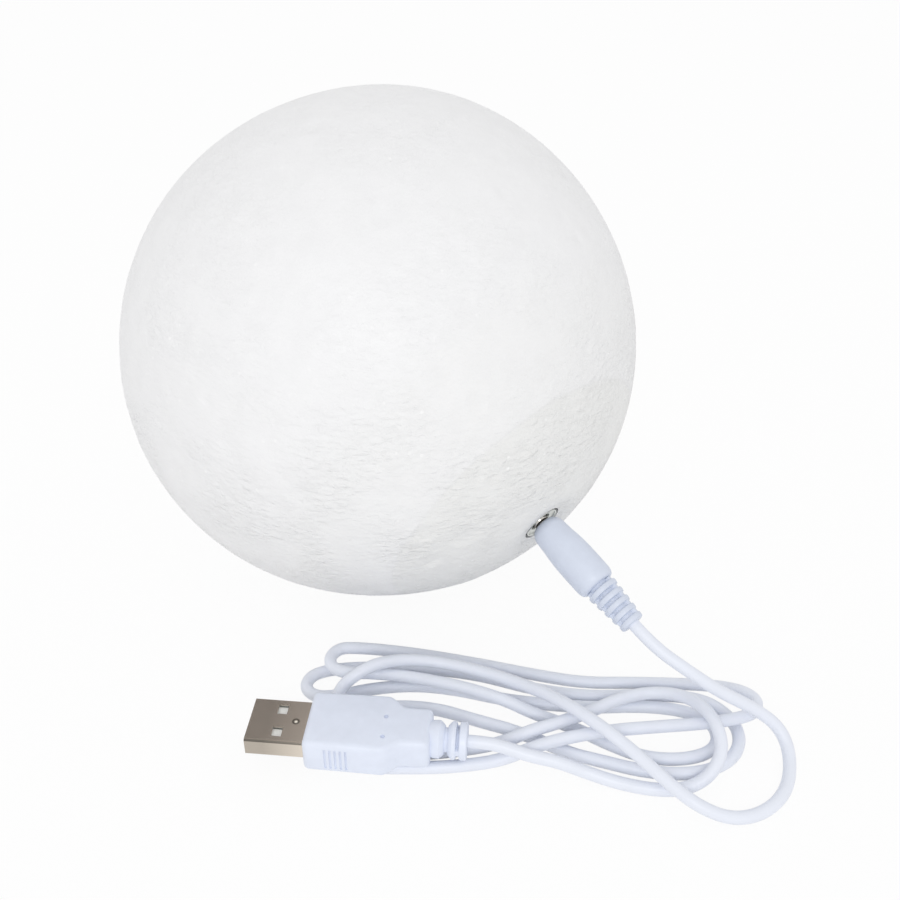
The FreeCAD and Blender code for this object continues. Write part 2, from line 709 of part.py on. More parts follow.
def lie(points):
    return [Vector(x, y, CORD_D / 2 + layer * LAYER_RISE) for x, y, layer in points]


def route(points):
    """Edges of straight runs joined by tangent arcs, each as large as its runs allow."""
    edges = []
    last = points[0]
    for before, corner, after in zip(points, points[1:], points[2:]):
        back = before - corner
        ahead = after - corner
        reach = ARC_REACH * min(back.Length, ahead.Length)
        back.normalize()
        ahead.normalize()
        start = corner + back * reach
        end = corner + ahead * reach
        radius = arc_radius(before, corner, after)
        middle_way = back + ahead
        middle_way.normalize()
        centre = corner + middle_way * math.hypot(radius, reach)
        edges.append(line(last, start))
        edges.append(Part.Arc(start, centre - middle_way * radius, end).toShape())
        last = end
    edges.append(line(last, points[-1]))
    return edges


def arc_radius(before, corner, after):
    back = before - corner
    ahead = after - corner
    half_turn = (math.pi - back.getAngle(ahead)) / 2
    return ARC_REACH * min(back.Length, ahead.Length) / math.tan(half_turn)


def sweep(edges, points, thickness):
    """A solid tube of round section along the edges, its ends square to the first and last run."""
    start = points[0]
    ring = Part.Wire([Part.makeCircle(thickness / 2, start, points[1] - start)])
    return Part.Wire(edges).makePipeShell([ring], True, False)


def samples(edges, step):
    points = []
    for edge in edges:
        count = max(2, int(edge.Length / step) + 1)
        points.extend(edge.discretize(count)[:-1])
    return points


def least_gap(edges, step=0.8, apart=14.0):
    """The smallest clear space between parts of the tube further apart than this along it."""
    points = samples(edges, step)
    along = [0.0]
    for first, second in zip(points, points[1:]):
        along.append(along[-1] + first.distanceToPoint(second))
    least = float("inf")
    for i, point in enumerate(points):
        for j in range(i + 1, len(points)):
            if along[j] - along[i] > apart:
                least = min(least, point.distanceToPoint(points[j]))
    return least - CORD_D


def report_tube(name, points, edges, solid):
    length = sum(edge.Length for edge in edges)
    radii = [arc_radius(*corner) for corner in zip(points, points[1:], points[2:])]
    volume = length * math.pi * (CORD_D / 2) ** 2
    print(name, "length", round(length, 1), "volume ratio", round(solid.Volume / volume, 4))
    print(name, "arc radii", " ".join(str(round(radius, 1)) for radius in radii))


def cord():
    """The charging cord as a free lead and a folded hank, which meet face to face."""
    start = TO_JACK.multVec(Vector(0, 0, CORD_EXIT))
    straight = TO_JACK.multVec(Vector(0, 0, CORD_EXIT + JACK_END_STRAIGHT * CORD_D))
    hank = lie(
        TOP_STRAND + FOLD_UNDER_PLUG + LOW_STRAND + FAR_STRAND + SECOND_STRAND
        + THIRD_STRAND + FOURTH_STRAND + FIFTH_STRAND + ARCHED_STRAND + PLUG_STRAND
    )
    hank.append(Vector(USB_EXIT_X + USB_END_STRAIGHT * CORD_D, USB_Y, USB_Z))
    hank.append(Vector(USB_EXIT_X, USB_Y, USB_Z))
    lead = [start, straight] + lie(LEAD)
    meeting = (lead[-1] + hank[0]) * 0.5
    lead.append(meeting)
    hank.insert(0, meeting)
    pieces = []
    for name, points in (("cord_lead", lead), ("cord_hank", hank)):
        edges = route(points)
        solid = sweep(edges, points, CORD_D)
        report_tube(name, points, edges, solid)
        pieces.append((name, solid))
    gap = least_gap(route(lead[:-1] + hank[1:]))
    print("cord least gap to itself", round(gap, 2))
    return pieces


def main():
    os.makedirs("parts", exist_ok=True)
    builders = [
        moon_shell, base_cap, ring_insulator, touch_ring, jack_body, jack_sleeve_contact,
        jack_centre_pin, dc_barrel, dc_insulator, dc_centre_contact, dc_plug_body,
        dc_strain_relief, housing_cup, housing_lid, board_screws, lid_screws, main_pcb,
        control_chips, inductor, capacitors, battery_tape, battery_cell, touch_wire,
        led_board, led_chips, usb_shell, usb_tongue, usb_contacts, usb_overmould,
        usb_strain_relief,
    ]
    for build in builders:
        save(build.__name__, build())
    for colour, side in (("red", -1), ("black", 1)):
        save("battery_wire_" + colour, battery_wire(side))
        save("led_wire_" + colour, led_wire(side))
    for name, solid in cord():
        save(name, solid)


main()
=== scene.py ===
"""Moon lamp: a printed globe with a charging cord in its side, dressed for a plain pale studio."""

import math
import random

import bmesh
import bpy
import numpy as np
from bpy.props import FloatProperty, FloatVectorProperty, IntProperty, PointerProperty
from bpy.types import Operator, Panel, PropertyGroup
from mathutils import Matrix, Vector


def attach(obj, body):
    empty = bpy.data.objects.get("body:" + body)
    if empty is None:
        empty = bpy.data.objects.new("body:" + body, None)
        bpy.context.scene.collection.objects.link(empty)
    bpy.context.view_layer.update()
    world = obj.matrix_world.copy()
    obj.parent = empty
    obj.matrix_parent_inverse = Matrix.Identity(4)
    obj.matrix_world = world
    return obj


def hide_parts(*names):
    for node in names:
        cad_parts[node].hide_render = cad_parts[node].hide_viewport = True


bl_info = {
    "name": "Moon lamp",
    "version": (1, 0, 0),
    "blender": (4, 5, 0),
    "location": "3D View > Sidebar > Moon lamp",
    "description": "Builds a printed moon lamp with its charging cord around a packed frame",
    "category": "Object",
}

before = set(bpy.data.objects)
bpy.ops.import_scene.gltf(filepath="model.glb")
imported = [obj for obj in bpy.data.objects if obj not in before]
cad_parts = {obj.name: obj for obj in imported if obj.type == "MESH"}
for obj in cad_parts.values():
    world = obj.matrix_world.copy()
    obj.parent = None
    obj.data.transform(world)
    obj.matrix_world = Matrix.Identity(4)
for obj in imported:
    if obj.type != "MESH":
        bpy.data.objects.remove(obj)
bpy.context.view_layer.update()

MM = 0.001

# ---- sizes of the solids that the pieces stand for, in millimetres, and angles in degrees ----
GLOBE_R = 60.0
INNER_R = 58.2
SEAM_ANGLE = 35.0
JACK_HEADING = -41.5
JACK_PITCH = -23.0

# The cap: heights lie along the jack's axis from the globe's centre, angles open from that axis.
HOLE_R = 4.8
HOLE_RIM = 59.0
DISH_ANGLE = 8.6
DISH = [(8.4, 59.33), (7.8, 59.25), (7.0, 59.13), (6.2, 59.04), (5.5, 59.01)]
BOSS_R = 8.3
BOSS_BACK = 56.4
BOSS_FOOT = 57.61
BOSS_ANGLE = 12.0
LEDGE_ANGLE = 29.6
LEDGE_R = 28.89
MODULE_R = 31.49
SEAT = 47.34
LAP_START = 33.6
LAP_END = 38.2
LAP_R = 58.15
LAP_INNER_R = 56.95
GLOBE_STEPS = 420

# The globe's relief: wide flats and swellings as (azimuth, elevation, width, height), the first
# three in degrees and the height in shares of the lumps setting. Then, in millimetres, how far
# below the sphere a point still counts as outer skin, the smallest crater's radius, and how far
# from the jack's axis the relief starts and over what width it grows to its full height.
SWELLS = [
    (-90, -78, 46, -0.9), (160, 50, 40, -0.8), (-60, -10, 34, 0.7), (20, 5, 30, 0.5),
    (205, 0, 34, 0.6), (100, -30, 32, -0.5), (70, 40, 30, 0.4), (-120, 30, 26, -0.35),
    (-20, 60, 24, 0.35), (-100, -20, 20, 0.3), (130, 5, 22, 0.4), (-153, -28, 42, 1.4),
    (128, 51, 34, -1.9), (-10, -16, 44, 1.2), (-85, -56, 26, -0.8),
]
SKIN_DEPTH = 1.2
LEAST_CRATER_R = 1.1
RELIEF_STARTS = 5.4
RELIEF_GROWS = 5.0

# The touch ring and the barrel plug, along the jack's axis.
RING_BORE_R = 2.5
RING_R = 4.25
RING_FACE = 58.6
RING_BACK = RING_FACE - 0.8
RING_LIP = RING_FACE + 0.4
BARREL_R = 1.75
BARREL_BORE_R = 1.35
BARREL_TIP = 49.9
BARREL_GROOVE = 58.8
PLUG_FACE = 59.4
BARREL_END = PLUG_FACE + 3.0
PLUG_TAIL = 77.8
CORD_EXIT = 88.8
RELIEF_RIBS = 5
RELIEF_BIG_R = 3.65
RELIEF_TAPER = 0.8
RELIEF_SLOT = 0.9
TIE_SIZE = (3.4, 1.5, 10.6)

# The barrel plug's grip in half section, as (radius, distance behind its face).
PLUG_OUTLINE = [
    (0, 3.0), (BARREL_R, 3.0), (BARREL_R, 0.1), (1.85, 0), (2.3, 0), (2.6, 0.1), (3.0, 0.45),
    (3.4, 1.0), (3.7, 1.7), (3.85, 2.3), (3.95, 3.6), (4.05, 5.1), (4.25, 6.6), (4.38, 8.1),
    (4.47, 9.6), (4.5, 11.1), (4.5, 15.1), (4.46, 16.8), (4.3, 17.6), (4.0, 18.1), (3.5, 18.4),
    (0, 18.4),
]

# The USB plug, which points along -X.
USB_Y = -74.0
USB_Z = 7.2
SLEEVE_MOUTH = -19.0
SLEEVE_TOP = 9.45
SLEEVE_HALF_W = 6.0
DIMPLE_X = -9.1
WINDOW_X = -12.5
WINDOW_Y = 3.1
POCKET_SIZE = (2.6, 3.55, 0.7)
POCKET_SHIFT = 0.375
SLOT_SIZE = (2.6, 1.0, 3.0)
SLOT_SHIFT = 1.65
TONGUE_FRONT = -18.2
TONGUE_TOP = 9.13
TONGUE_FOOT = 5.25
TONGUE_T = 1.83
TONGUE_W = 10.8
TONGUE_BACK = 1.85
STRIP_SIZE = (7.0, 1.1, 0.1)
STRIP_X = -13.5
STRIP_Z = 7.25
STRIP_PLACES = (-3.5, -1.0, 1.0, 3.5)
GRIP_NOSE = -6.5
GRIP_TAIL = 19.9
GRIP_FRONT = 17.0
GRIP_W = 15.2
GRIP_H = 8.4
GRIP_FLARE_W = 15.7
GRIP_SHOULDER = 3.1
GRIP_REAR = 6.3
GRIP_REAR_W = 10.6
GRIP_REAR_H = 7.8
GROOVES = 5
GROOVE_START = 4.9
GROOVE_STEP = 1.1
GROOVE_SIZE = (0.5, 0.7, 5.6)
GROOVE_Y = 7.7
# The pin marks as (x, y from the plug's middle line).
PIN_MARKS = ((10.1, 1.4), (10.1, -4.1))
PIN_MARK_R = 0.55
PIN_MARK_RISE = 4.0
USB_EXIT = 27.5

# ---- the key lamp's place and width, in metres, and the camera's place, in millimetres ----
KEY_PLACE = (0.09, -0.99, 0.73)
KEY_SIZE = 0.5
CAMERA_PLACE = (39.7, -239.6, 194.3)

# ---- where the jack faces ----
HEADING = math.radians(JACK_HEADING)
PITCH = math.radians(JACK_PITCH)
JACK_AXIS = Vector((
    math.cos(PITCH) * math.cos(HEADING),
    math.cos(PITCH) * math.sin(HEADING),
    math.sin(PITCH),
))
GLOBE_CENTRE = Vector((0, 0, GLOBE_R * MM))
ON_JACK = (
    Matrix.Translation(GLOBE_CENTRE)
    @ Vector((0, 0, 1)).rotation_difference(JACK_AXIS).to_matrix().to_4x4()
)
ON_USB = Matrix.Translation((0, USB_Y * MM, USB_Z * MM)) @ Matrix.Rotation(math.pi / 2, 4, "Y")

# ---- the cord's route, from the jack to the USB plug, as (x, y, layer) ----
# x and y are in millimetres. Layer 0 lies on the floor, and each whole layer is one crossing
# higher.
CORD_D = 2.8
LAYER_RISE = 3.3
JACK_END_STRAIGHT = 2.3 * CORD_D
USB_END_STRAIGHT = 1.7 * CORD_D
LEAD = [
    (72.4, -60.6, 5.45), (79.8, -61.6, 4.0), (87.5, -61.0, 2.6), (93.6, -61.9, 1.4),
    (96.2, -65.9, 0.3), (94.8, -75.0, 0.0), (89.6, -81.6, 0.0), (82.7, -84.3, 0.0),
]
TOP_STRAND = [
    (75.5, -83.8, 0.72), (69.2, -79.6, 1.27), (62.3, -73.9, 1.9), (54.6, -67.9, 2.3),
    (47.1, -61.8, 2.15), (39.5, -56.0, 1.5), (30.3, -52.0, 1.27), (19.2, -49.9, 1.36),
    (10.6, -51.3, 1.8), (4.8, -55.1, 2.3), (0.6, -57.9, 1.9),
]
FOLD_UNDER_PLUG = [
    (-2.4, -59.5, 1.15), (-4.2, -66.0, 0.02), (-4.6, -72.0, 0.0), (-1.2, -77.0, 0.0),
    (6.0, -78.0, 0.0),
]
LOW_STRAND = [
    (16.8, -77.2, 0.0), (25.8, -75.9, 0.0), (34.5, -73.5, 0.0), (41.1, -71.7, 0.82),
    (47.0, -69.4, 1.06), (56.6, -66.2, 1.06), (67.4, -64.0, 1.06), (78.2, -61.9, 1.03),
    (85.3, -60.0, 1.06), (89.4, -57.8, 1.06), (90.5, -54.0, 1.03), (87.5, -50.8, 0.88),
]
FAR_STRAND = [
    (81.9, -48.3, 0.42), (74.3, -47.1, 0.0), (62.8, -47.9, 0.02), (52.1, -49.0, 0.02),
    (39.8, -47.3, 0.0), (28.1, -45.2, 0.0), (14.9, -43.4, 0.0), (5.4, -43.7, 0.3),
    (-0.8, -45.9, 0.97), (-4.6, -46.6, 1.06), (-6.6, -49.6, 1.06), (-5.6, -53.0, 1.06),
    (-2.0, -54.5, 1.06),
]
SECOND_STRAND = [
    (3.5, -53.9, 1.06), (11.6, -54.1, 1.06), (23.2, -55.8, 1.06), (34.2, -58.5, 0.9),
    (40.7, -60.4, 0.36), (50.3, -62.8, 0.0), (58.3, -67.1, 0.0), (65.5, -69.8, 0.0),
    (73.2, -69.6, 0.0), (79.3, -67.1, 0.0), (81.6, -62.9, 0.0), (80.3, -58.1, 0.0),
]
THIRD_STRAND = [
    (74.2, -55.2, 0.0), (64.8, -54.9, 0.02), (53.7, -56.5, 0.0), (42.4, -56.4, 0.0),
    (33.4, -55.8, 0.0), (24.1, -53.9, 0.0), (13.7, -53.3, 0.0), (3.6, -55.5, 0.0),
    (-3.3, -58.4, 0.0), (-8.6, -59.2, 0.0), (-11.6, -56.0, 0.0), (-9.9, -51.7, 0.0),
]
FOURTH_STRAND = [
    (-3.2, -49.5, 0.0), (6.0, -48.3, 0.0), (16.6, -47.9, 0.0), (28.3, -48.7, 0.0),
    (41.2, -52.2, 0.0), (53.7, -53.2, 0.0), (65.0, -51.5, 0.02), (77.1, -50.9, 0.0),
    (83.3, -54.3, 0.0), (86.4, -60.5, 0.0), (85.0, -67.1, 0.0), (79.7, -71.7, 0.0),
]
FIFTH_STRAND = [
    (72.4, -73.7, 0.0), (64.1, -73.4, 0.0), (55.7, -71.5, 0.0), (49.3, -70.2, 0.0),
    (38.1, -65.1, 0.0), (28.2, -62.6, 0.0), (19.7, -60.1, 0.0), (10.5, -60.0, 0.0),
    (2.8, -62.5, 0.0), (0.2, -67.8, 0.0), (2.8, -72.4, 0.0), (10.5, -73.8, 0.0),
]
ARCHED_STRAND = [
    (20.0, -73.0, 0.0), (31.6, -69.8, 0.0), (36.7, -68.9, 0.58), (40.5, -68.0, 1.15),
    (45.8, -65.4, 1.12), (53.4, -61.0, 1.06), (60.1, -56.2, 1.06), (67.2, -53.7, 1.06),
    (73.6, -55.1, 1.42), (77.5, -60.2, 2.12), (80.0, -65.3, 2.15), (81.0, -70.2, 1.6),
    (79.3, -74.3, 1.03), (76.4, -76.5, 0.42),
]
PLUG_STRAND = [
    (72.2, -77.7, 0.0), (66.6, -78.2, 0.0), (59.4, -77.1, 0.0), (53.1, -75.9, 0.3),
    (46.7, -75.5, 1.0), (40.8, -75.2, 1.25), (36.3, -74.4, 1.5),
]
CORD_ROUTE = (
    LEAD + TOP_STRAND + FOLD_UNDER_PLUG + LOW_STRAND + FAR_STRAND + SECOND_STRAND
    + THIRD_STRAND + FOURTH_STRAND + FIFTH_STRAND + ARCHED_STRAND + PLUG_STRAND
)


def linear(hex_colour):
    """An sRGB colour such as #F4F3EE as the linear values that sockets and properties take."""
    values = []
    for start in (1, 3, 5):
        value = int(hex_colour[start:start + 2], 16) / 255
        values.append(value / 12.92 if value <= 0.04045 else ((value + 0.055) / 1.055) ** 2.4)
    return tuple(values)


# ---- what a user may change ----

class GlobeSettings(PropertyGroup):
    relief: FloatProperty(
        name="Crater depth", description="Depth of an average crater",
        default=0.11 * MM, min=0.0, max=1.0 * MM, unit="LENGTH", precision=5,
    )
    craters: IntProperty(
        name="Craters", description="How many craters the globe's relief has",
        default=900, min=0, max=3000,
    )
    lumps: FloatProperty(
        name="Lumps", description="How far the print departs from a true sphere",
        default=0.45 * MM, min=0.0, max=1.0 * MM, unit="LENGTH", precision=5,
    )
    print_colour: FloatVectorProperty(
        name="Print", description="Colour of the printed globe",
        subtype="COLOR", size=3, min=0.0, max=1.0, default=linear("#F4F4F5"),
    )
    # Painted shade: the cap's colour stands for the module's shade behind the skin.
    cap_shade_colour: FloatVectorProperty(
        name="Cap", description="Colour of the cap, whose module behind it lets less light through",
        subtype="COLOR", size=3, min=0.0, max=1.0, default=linear("#F0F0EF"),
    )


class PlugSettings(PropertyGroup):
    barrel_colour: FloatVectorProperty(
        name="Barrel plug", description="Colour of the barrel plug's moulded grip",
        subtype="COLOR", size=3, min=0.0, max=1.0, default=linear("#D8DFEE"),
    )
    usb_colour: FloatVectorProperty(
        name="USB plug", description="Colour of the USB plug's moulded grip",
        subtype="COLOR", size=3, min=0.0, max=1.0, default=linear("#E6ECFA"),
    )
    grip_round: FloatProperty(
        name="Grip rounding", description="Rounding of the USB grip's long edges",
        default=1.3 * MM, min=0.2 * MM, max=2.5 * MM, unit="LENGTH", precision=5,
    )


class CordSettings(PropertyGroup):
    jacket_colour: FloatVectorProperty(
        name="Jacket", description="Colour of the cord's jacket",
        subtype="COLOR", size=3, min=0.0, max=1.0, default=linear("#ECF0FA"),
    )
    thickness: FloatProperty(
        name="Cord thickness", description="Diameter of the charging cord",
        default=CORD_D * MM, min=1.0 * MM, max=6.0 * MM, unit="LENGTH", precision=5,
    )


class StageSettings(PropertyGroup):
    azimuth: FloatProperty(
        name="Azimuth", description="The camera's heading, 0 looking along +Y",
        subtype="ANGLE", default=math.radians(5.5),
    )
    elevation: FloatProperty(
        name="Elevation", description="How far down the camera looks",
        subtype="ANGLE", default=math.radians(34.2),
    )
    focal_length: FloatProperty(
        name="Focal length", description="The camera's lens on a 36 mm sensor",
        default=46.0, min=10.0, max=200.0,
    )
    sky: FloatProperty(
        name="Sky", description="Strength of the even light from all round",
        default=0.785, min=0.0, max=2.0,
    )
    key: FloatProperty(
        name="Key light", description="Power of the large soft lamp beside the camera",
        default=2.85, min=0.0, max=50.0, unit="POWER",
    )


# ---- modelling helpers ----

def start_fresh():
    """Leaves edit mode and selects nothing, so that an operator acts on the new piece alone."""
    if bpy.context.object and bpy.context.object.mode != "OBJECT":
        bpy.ops.object.mode_set(mode="OBJECT")
    bpy.ops.object.select_all(action="DESELECT")


def named(name):
    piece = bpy.context.object
    piece.name = name
    piece.data.name = name
    return piece


def close_up():
    """Merges doubled points, turns the faces outwards and leaves edit mode."""
    bpy.ops.mesh.select_all(action="SELECT")
    bpy.ops.mesh.remove_doubles(threshold=0.002 * MM)
    bpy.ops.mesh.normals_make_consistent(inside=False)
    bpy.ops.object.mode_set(mode="OBJECT")


def lathe(name, outline, steps):
    """A piece turned about +Z: one point extruded along (radius, height) in mm, then spun."""
    start_fresh()
    bpy.ops.mesh.primitive_plane_add(size=MM)
    piece = named(name)
    bpy.ops.object.mode_set(mode="EDIT")
    bpy.ops.mesh.select_mode(type="VERT")
    bpy.ops.mesh.select_all(action="SELECT")
    bpy.ops.mesh.merge(type="CENTER")
    radius, height = outline[0]
    bpy.ops.transform.translate(value=(radius * MM, 0, height * MM))
    for next_radius, next_height in outline[1:]:
        step = ((next_radius - radius) * MM, 0, (next_height - height) * MM)
        bpy.ops.mesh.extrude_region_move(TRANSFORM_OT_translate={"value": step})
        radius, height = next_radius, next_height
    bpy.ops.mesh.select_all(action="SELECT")
    bpy.ops.mesh.spin(steps=steps, angle=2 * math.pi, center=(0, 0, 0), axis=(0, 0, 1))
    close_up()
    return piece


def bar(name, size, centre):
    """A box of the given size in mm, whose edges a bevel rounds later."""
    start_fresh()
    bpy.ops.mesh.primitive_cube_add(size=1, location=[value * MM for value in centre])
    piece = named(name)
    piece.scale = [value * MM for value in size]
    bpy.ops.object.transform_apply(location=True, rotation=True, scale=True)
    return piece


def placed(piece, matrix):
    """Moves a piece modelled about +Z to its place, and keeps that place in its mesh."""
    start_fresh()
    piece.select_set(True)
    bpy.context.view_layer.objects.active = piece
    piece.matrix_world = matrix
    bpy.ops.object.transform_apply(location=True, rotation=True, scale=True)
    return piece


def bevelled(piece, width, segments=3, angle=30):
    """Rounds the edges sharper than the angle by a width in mm."""
    bevel = piece.modifiers.new("rounding", "BEVEL")
    bevel.width = width * MM
    bevel.segments = segments
    bevel.limit_method = "ANGLE"
    bevel.angle_limit = math.radians(angle)
    bevel.use_clamp_overlap = True
    start_fresh()
    bpy.context.view_layer.objects.active = piece
    bpy.ops.object.modifier_apply(modifier=bevel.name)
    return piece


def cut_with(piece, cutter):
    """Cuts the cutter's shape out of the piece and removes the cutter."""
    boolean = piece.modifiers.new("cut", "BOOLEAN")
    boolean.operation = "DIFFERENCE"
    boolean.solver = "EXACT"
    boolean.object = cutter
    start_fresh()
    bpy.context.view_layer.objects.active = piece
    bpy.ops.object.modifier_apply(modifier=boolean.name)
    bpy.data.objects.remove(cutter)
    return piece


def joined(name, pieces):
    start_fresh()
    for piece in pieces:
        piece.select_set(True)
    bpy.context.view_layer.objects.active = pieces[0]
    if len(pieces) > 1:
        bpy.ops.object.join()
    return named(name)


def smoothed(piece, angle=30):
    start_fresh()
    piece.select_set(True)
    bpy.context.view_layer.objects.active = piece
    bpy.ops.object.shade_smooth_by_angle(angle=math.radians(angle))
    return piece


def dress(piece, material, slot, body, *nodes):
    """Gives a new piece its finish, its body and the CAD nodes that it stands for."""
    piece.data.materials.clear()
    piece.data.materials.append(material)
    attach(piece, body)
    if nodes:
        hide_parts(*nodes)


def dress_node(node, material):
    """Gives a CAD node that is shown as it is its finish."""
    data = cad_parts[node].data
    data.materials.clear()
    data.materials.append(material)


# ---- finishes ----

def add_node(tree, kind, sockets=None, **settings):
    """Adds a shader node: sockets gives each input a value or another node's output."""
    new = tree.nodes.new(kind)
    for name, value in settings.items():
        setattr(new, name, value)
    for name, value in (sockets or {}).items():
        if isinstance(value, bpy.types.NodeSocket):
            tree.links.new(value, new.inputs[name])
        else:
            new.inputs[name].default_value = value
    return new


def new_finish(name):
    material = bpy.data.materials.new(name)
    material.use_nodes = True
    tree = material.node_tree
    tree.nodes.clear()
    surface = add_node(tree, "ShaderNodeBsdfPrincipled")
    add_node(tree, "ShaderNodeOutputMaterial", {"Surface": surface.outputs["BSDF"]})
    return material, tree, surface


def printed_moon(globe):
    """PLA printed in fine layers and left matt. The eye sees a milky, softly lit skin whose tone
    drifts a little, small pits and ridges that catch the light, sparse painted highlights, and
    painted shade that greys the cap and the skin over the module."""
    material, tree, surface = new_finish("pla_printed_matt")
    place = add_node(tree, "ShaderNodeTexCoord").outputs["Object"]
    centred = add_node(
        tree, "ShaderNodeMapping", {"Vector": place, "Location": (0, 0, -GLOBE_R * MM)}
    ).outputs["Vector"]
    tone = print_tone(tree, centred, globe)
    strength = relief_strength(tree, centred)
    ridges, normal = print_bumps(tree, centred, strength)
    # Painted highlights: sparse bright specks mixed towards white in the colour.
    painted_glint = painted_bead_glints(tree, centred, strength)
    colour = add_node(
        tree, "ShaderNodeMix", {0: painted_glint, 6: tone, 7: (1, 1, 1, 1)}, data_type="RGBA"
    ).outputs[2]
    gloss = add_node(
        tree, "ShaderNodeMapRange",
        {"Value": ridges, "From Min": 0.3, "From Max": 0.7, "To Min": 0.58, "To Max": 0.40},
    ).outputs["Result"]
    tree.links.new(colour, surface.inputs["Base Color"])
    tree.links.new(gloss, surface.inputs["Roughness"])
    tree.links.new(normal, surface.inputs["Normal"])
    surface.inputs["IOR"].default_value = 1.45
    surface.inputs["Subsurface Weight"].default_value = 0.12
    surface.inputs["Subsurface Radius"].default_value = (1.0, 1.0, 1.0)
    surface.inputs["Subsurface Scale"].default_value = 1.0 * MM
    return material


def print_tone(tree, centred, globe):
    """The print's colour, with painted shade from the module greying the skin over it and the cap,
    and faint wide patches.
    """
    outward = add_node(
        tree, "ShaderNodeVectorMath", {0: centred}, operation="NORMALIZE"
    ).outputs["Vector"]
    towards_jack = add_node(
        tree, "ShaderNodeVectorMath", {0: outward, 1: tuple(JACK_AXIS)}, operation="DOT_PRODUCT"
    ).outputs["Value"]
    # The cap's painted shade has an edge that is soft over about two and a half millimetres and
    # wanders a little.
    wander = add_node(
        tree, "ShaderNodeTexNoise", {"Vector": centred, "Scale": 110.0, "Detail": 5.0}
    ).outputs["Fac"]
    edge = add_node(
        tree, "ShaderNodeMath", {0: wander, 1: 0.014, 2: towards_jack}, operation="MULTIPLY_ADD"
    ).outputs["Value"]
    painted_cap_shade = add_node(
        tree, "ShaderNodeMapRange",
        {"Value": edge, "From Min": 0.813, "From Max": 0.836}, interpolation_type="SMOOTHSTEP",
    ).outputs["Result"]
    # Painted shade of the module, wider and fainter, over the skin round the cap.
    painted_module_shade = add_node(
        tree, "ShaderNodeMapRange",
        {"Value": edge, "From Min": 0.48, "From Max": 0.62, "To Max": 0.3},
        interpolation_type="SMOOTHSTEP",
    ).outputs["Result"]
    shade = add_node(
        tree, "ShaderNodeMath", {0: painted_cap_shade, 1: painted_module_shade}, operation="MAXIMUM"
    ).outputs["Value"]
    toned = add_node(
        tree, "ShaderNodeMix",
        {0: shade, 6: (*globe.print_colour, 1), 7: (*globe.cap_shade_colour, 1)}, data_type="RGBA",
    ).outputs[2]
    # Faint patches about 5 mm wide, where the print is a little thicker or thinner.
    patches = add_node(
        tree, "ShaderNodeTexNoise", {"Vector": centred, "Scale": 190.0, "Detail": 5.0}
    ).outputs["Fac"]
    patch_tone = add_node(
        tree, "ShaderNodeMapRange",
        {"Value": patches, "From Min": 0.32, "From Max": 0.68, "To Min": 0.985, "To Max": 1.01},
    ).outputs["Result"]
    return add_node(
        tree, "ShaderNodeMix", {0: 1.0, 6: toned, 7: patch_tone},
        data_type="RGBA", blend_type="MULTIPLY",
    ).outputs[2]


def relief_strength(tree, centred):
    """How strong the fine relief is: strong on the lower half and in patches 18 mm wide, and
    weak on top."""
    height = add_node(tree, "ShaderNodeSeparateXYZ", {"Vector": centred}).outputs["Z"]
    lower = add_node(
        tree, "ShaderNodeMapRange",
        {"Value": height, "From Min": -0.03, "From Max": 0.03, "To Min": 1.0, "To Max": 0.4},
    ).outputs["Result"]
    areas = add_node(
        tree, "ShaderNodeTexNoise", {"Vector": centred, "Scale": 55.0, "Detail": 1.0}
    ).outputs["Fac"]
    rough_areas = add_node(
        tree, "ShaderNodeMapRange",
        {"Value": areas, "From Min": 0.4, "From Max": 0.6, "To Min": 0.5, "To Max": 1.25},
    ).outputs["Result"]
    return add_node(
        tree, "ShaderNodeMath", {0: lower, 1: rough_areas}, operation="MULTIPLY"
    ).outputs["Value"]


def print_bumps(tree, centred, strength):
    """Three sizes of relief: ridges 2.4 mm long, pits of 1.7 mm and the print's own grain of
    0.4 mm. The print's layers draw the ridges and pits out sideways. Gives the ridges and the
    normal."""
    layered = add_node(
        tree, "ShaderNodeMapping", {"Vector": centred, "Scale": (1, 1, 2)}
    ).outputs["Vector"]
    ridges = add_node(
        tree, "ShaderNodeTexNoise",
        {"Vector": layered, "Scale": 420.0, "Detail": 4.0, "Roughness": 0.6, "Distortion": 0.7},
    ).outputs["Fac"]
    pits = add_node(
        tree, "ShaderNodeTexVoronoi", {"Vector": layered, "Scale": 600.0, "Smoothness": 0.3},
        feature="SMOOTH_F1",
    ).outputs["Distance"]
    grain = add_node(
        tree, "ShaderNodeTexNoise", {"Vector": centred, "Scale": 2500.0, "Detail": 2.0}
    ).outputs["Fac"]
    ridge_height = add_node(
        tree, "ShaderNodeMath", {0: ridges, 1: strength}, operation="MULTIPLY"
    ).outputs["Value"]
    pit_depth = add_node(
        tree, "ShaderNodeMath", {0: pits, 1: strength}, operation="MULTIPLY"
    ).outputs["Value"]
    bump = add_node(
        tree, "ShaderNodeBump", {"Height": ridge_height, "Strength": 1.0, "Distance": 0.6 * MM}
    ).outputs["Normal"]
    bump = add_node(
        tree, "ShaderNodeBump",
        {"Height": pit_depth, "Strength": 0.8, "Distance": 0.2 * MM, "Normal": bump},
    ).outputs["Normal"]
    bump = add_node(
        tree, "ShaderNodeBump",
        {"Height": grain, "Strength": 0.6, "Distance": 0.06 * MM, "Normal": bump},
    ).outputs["Normal"]
    return ridges, bump


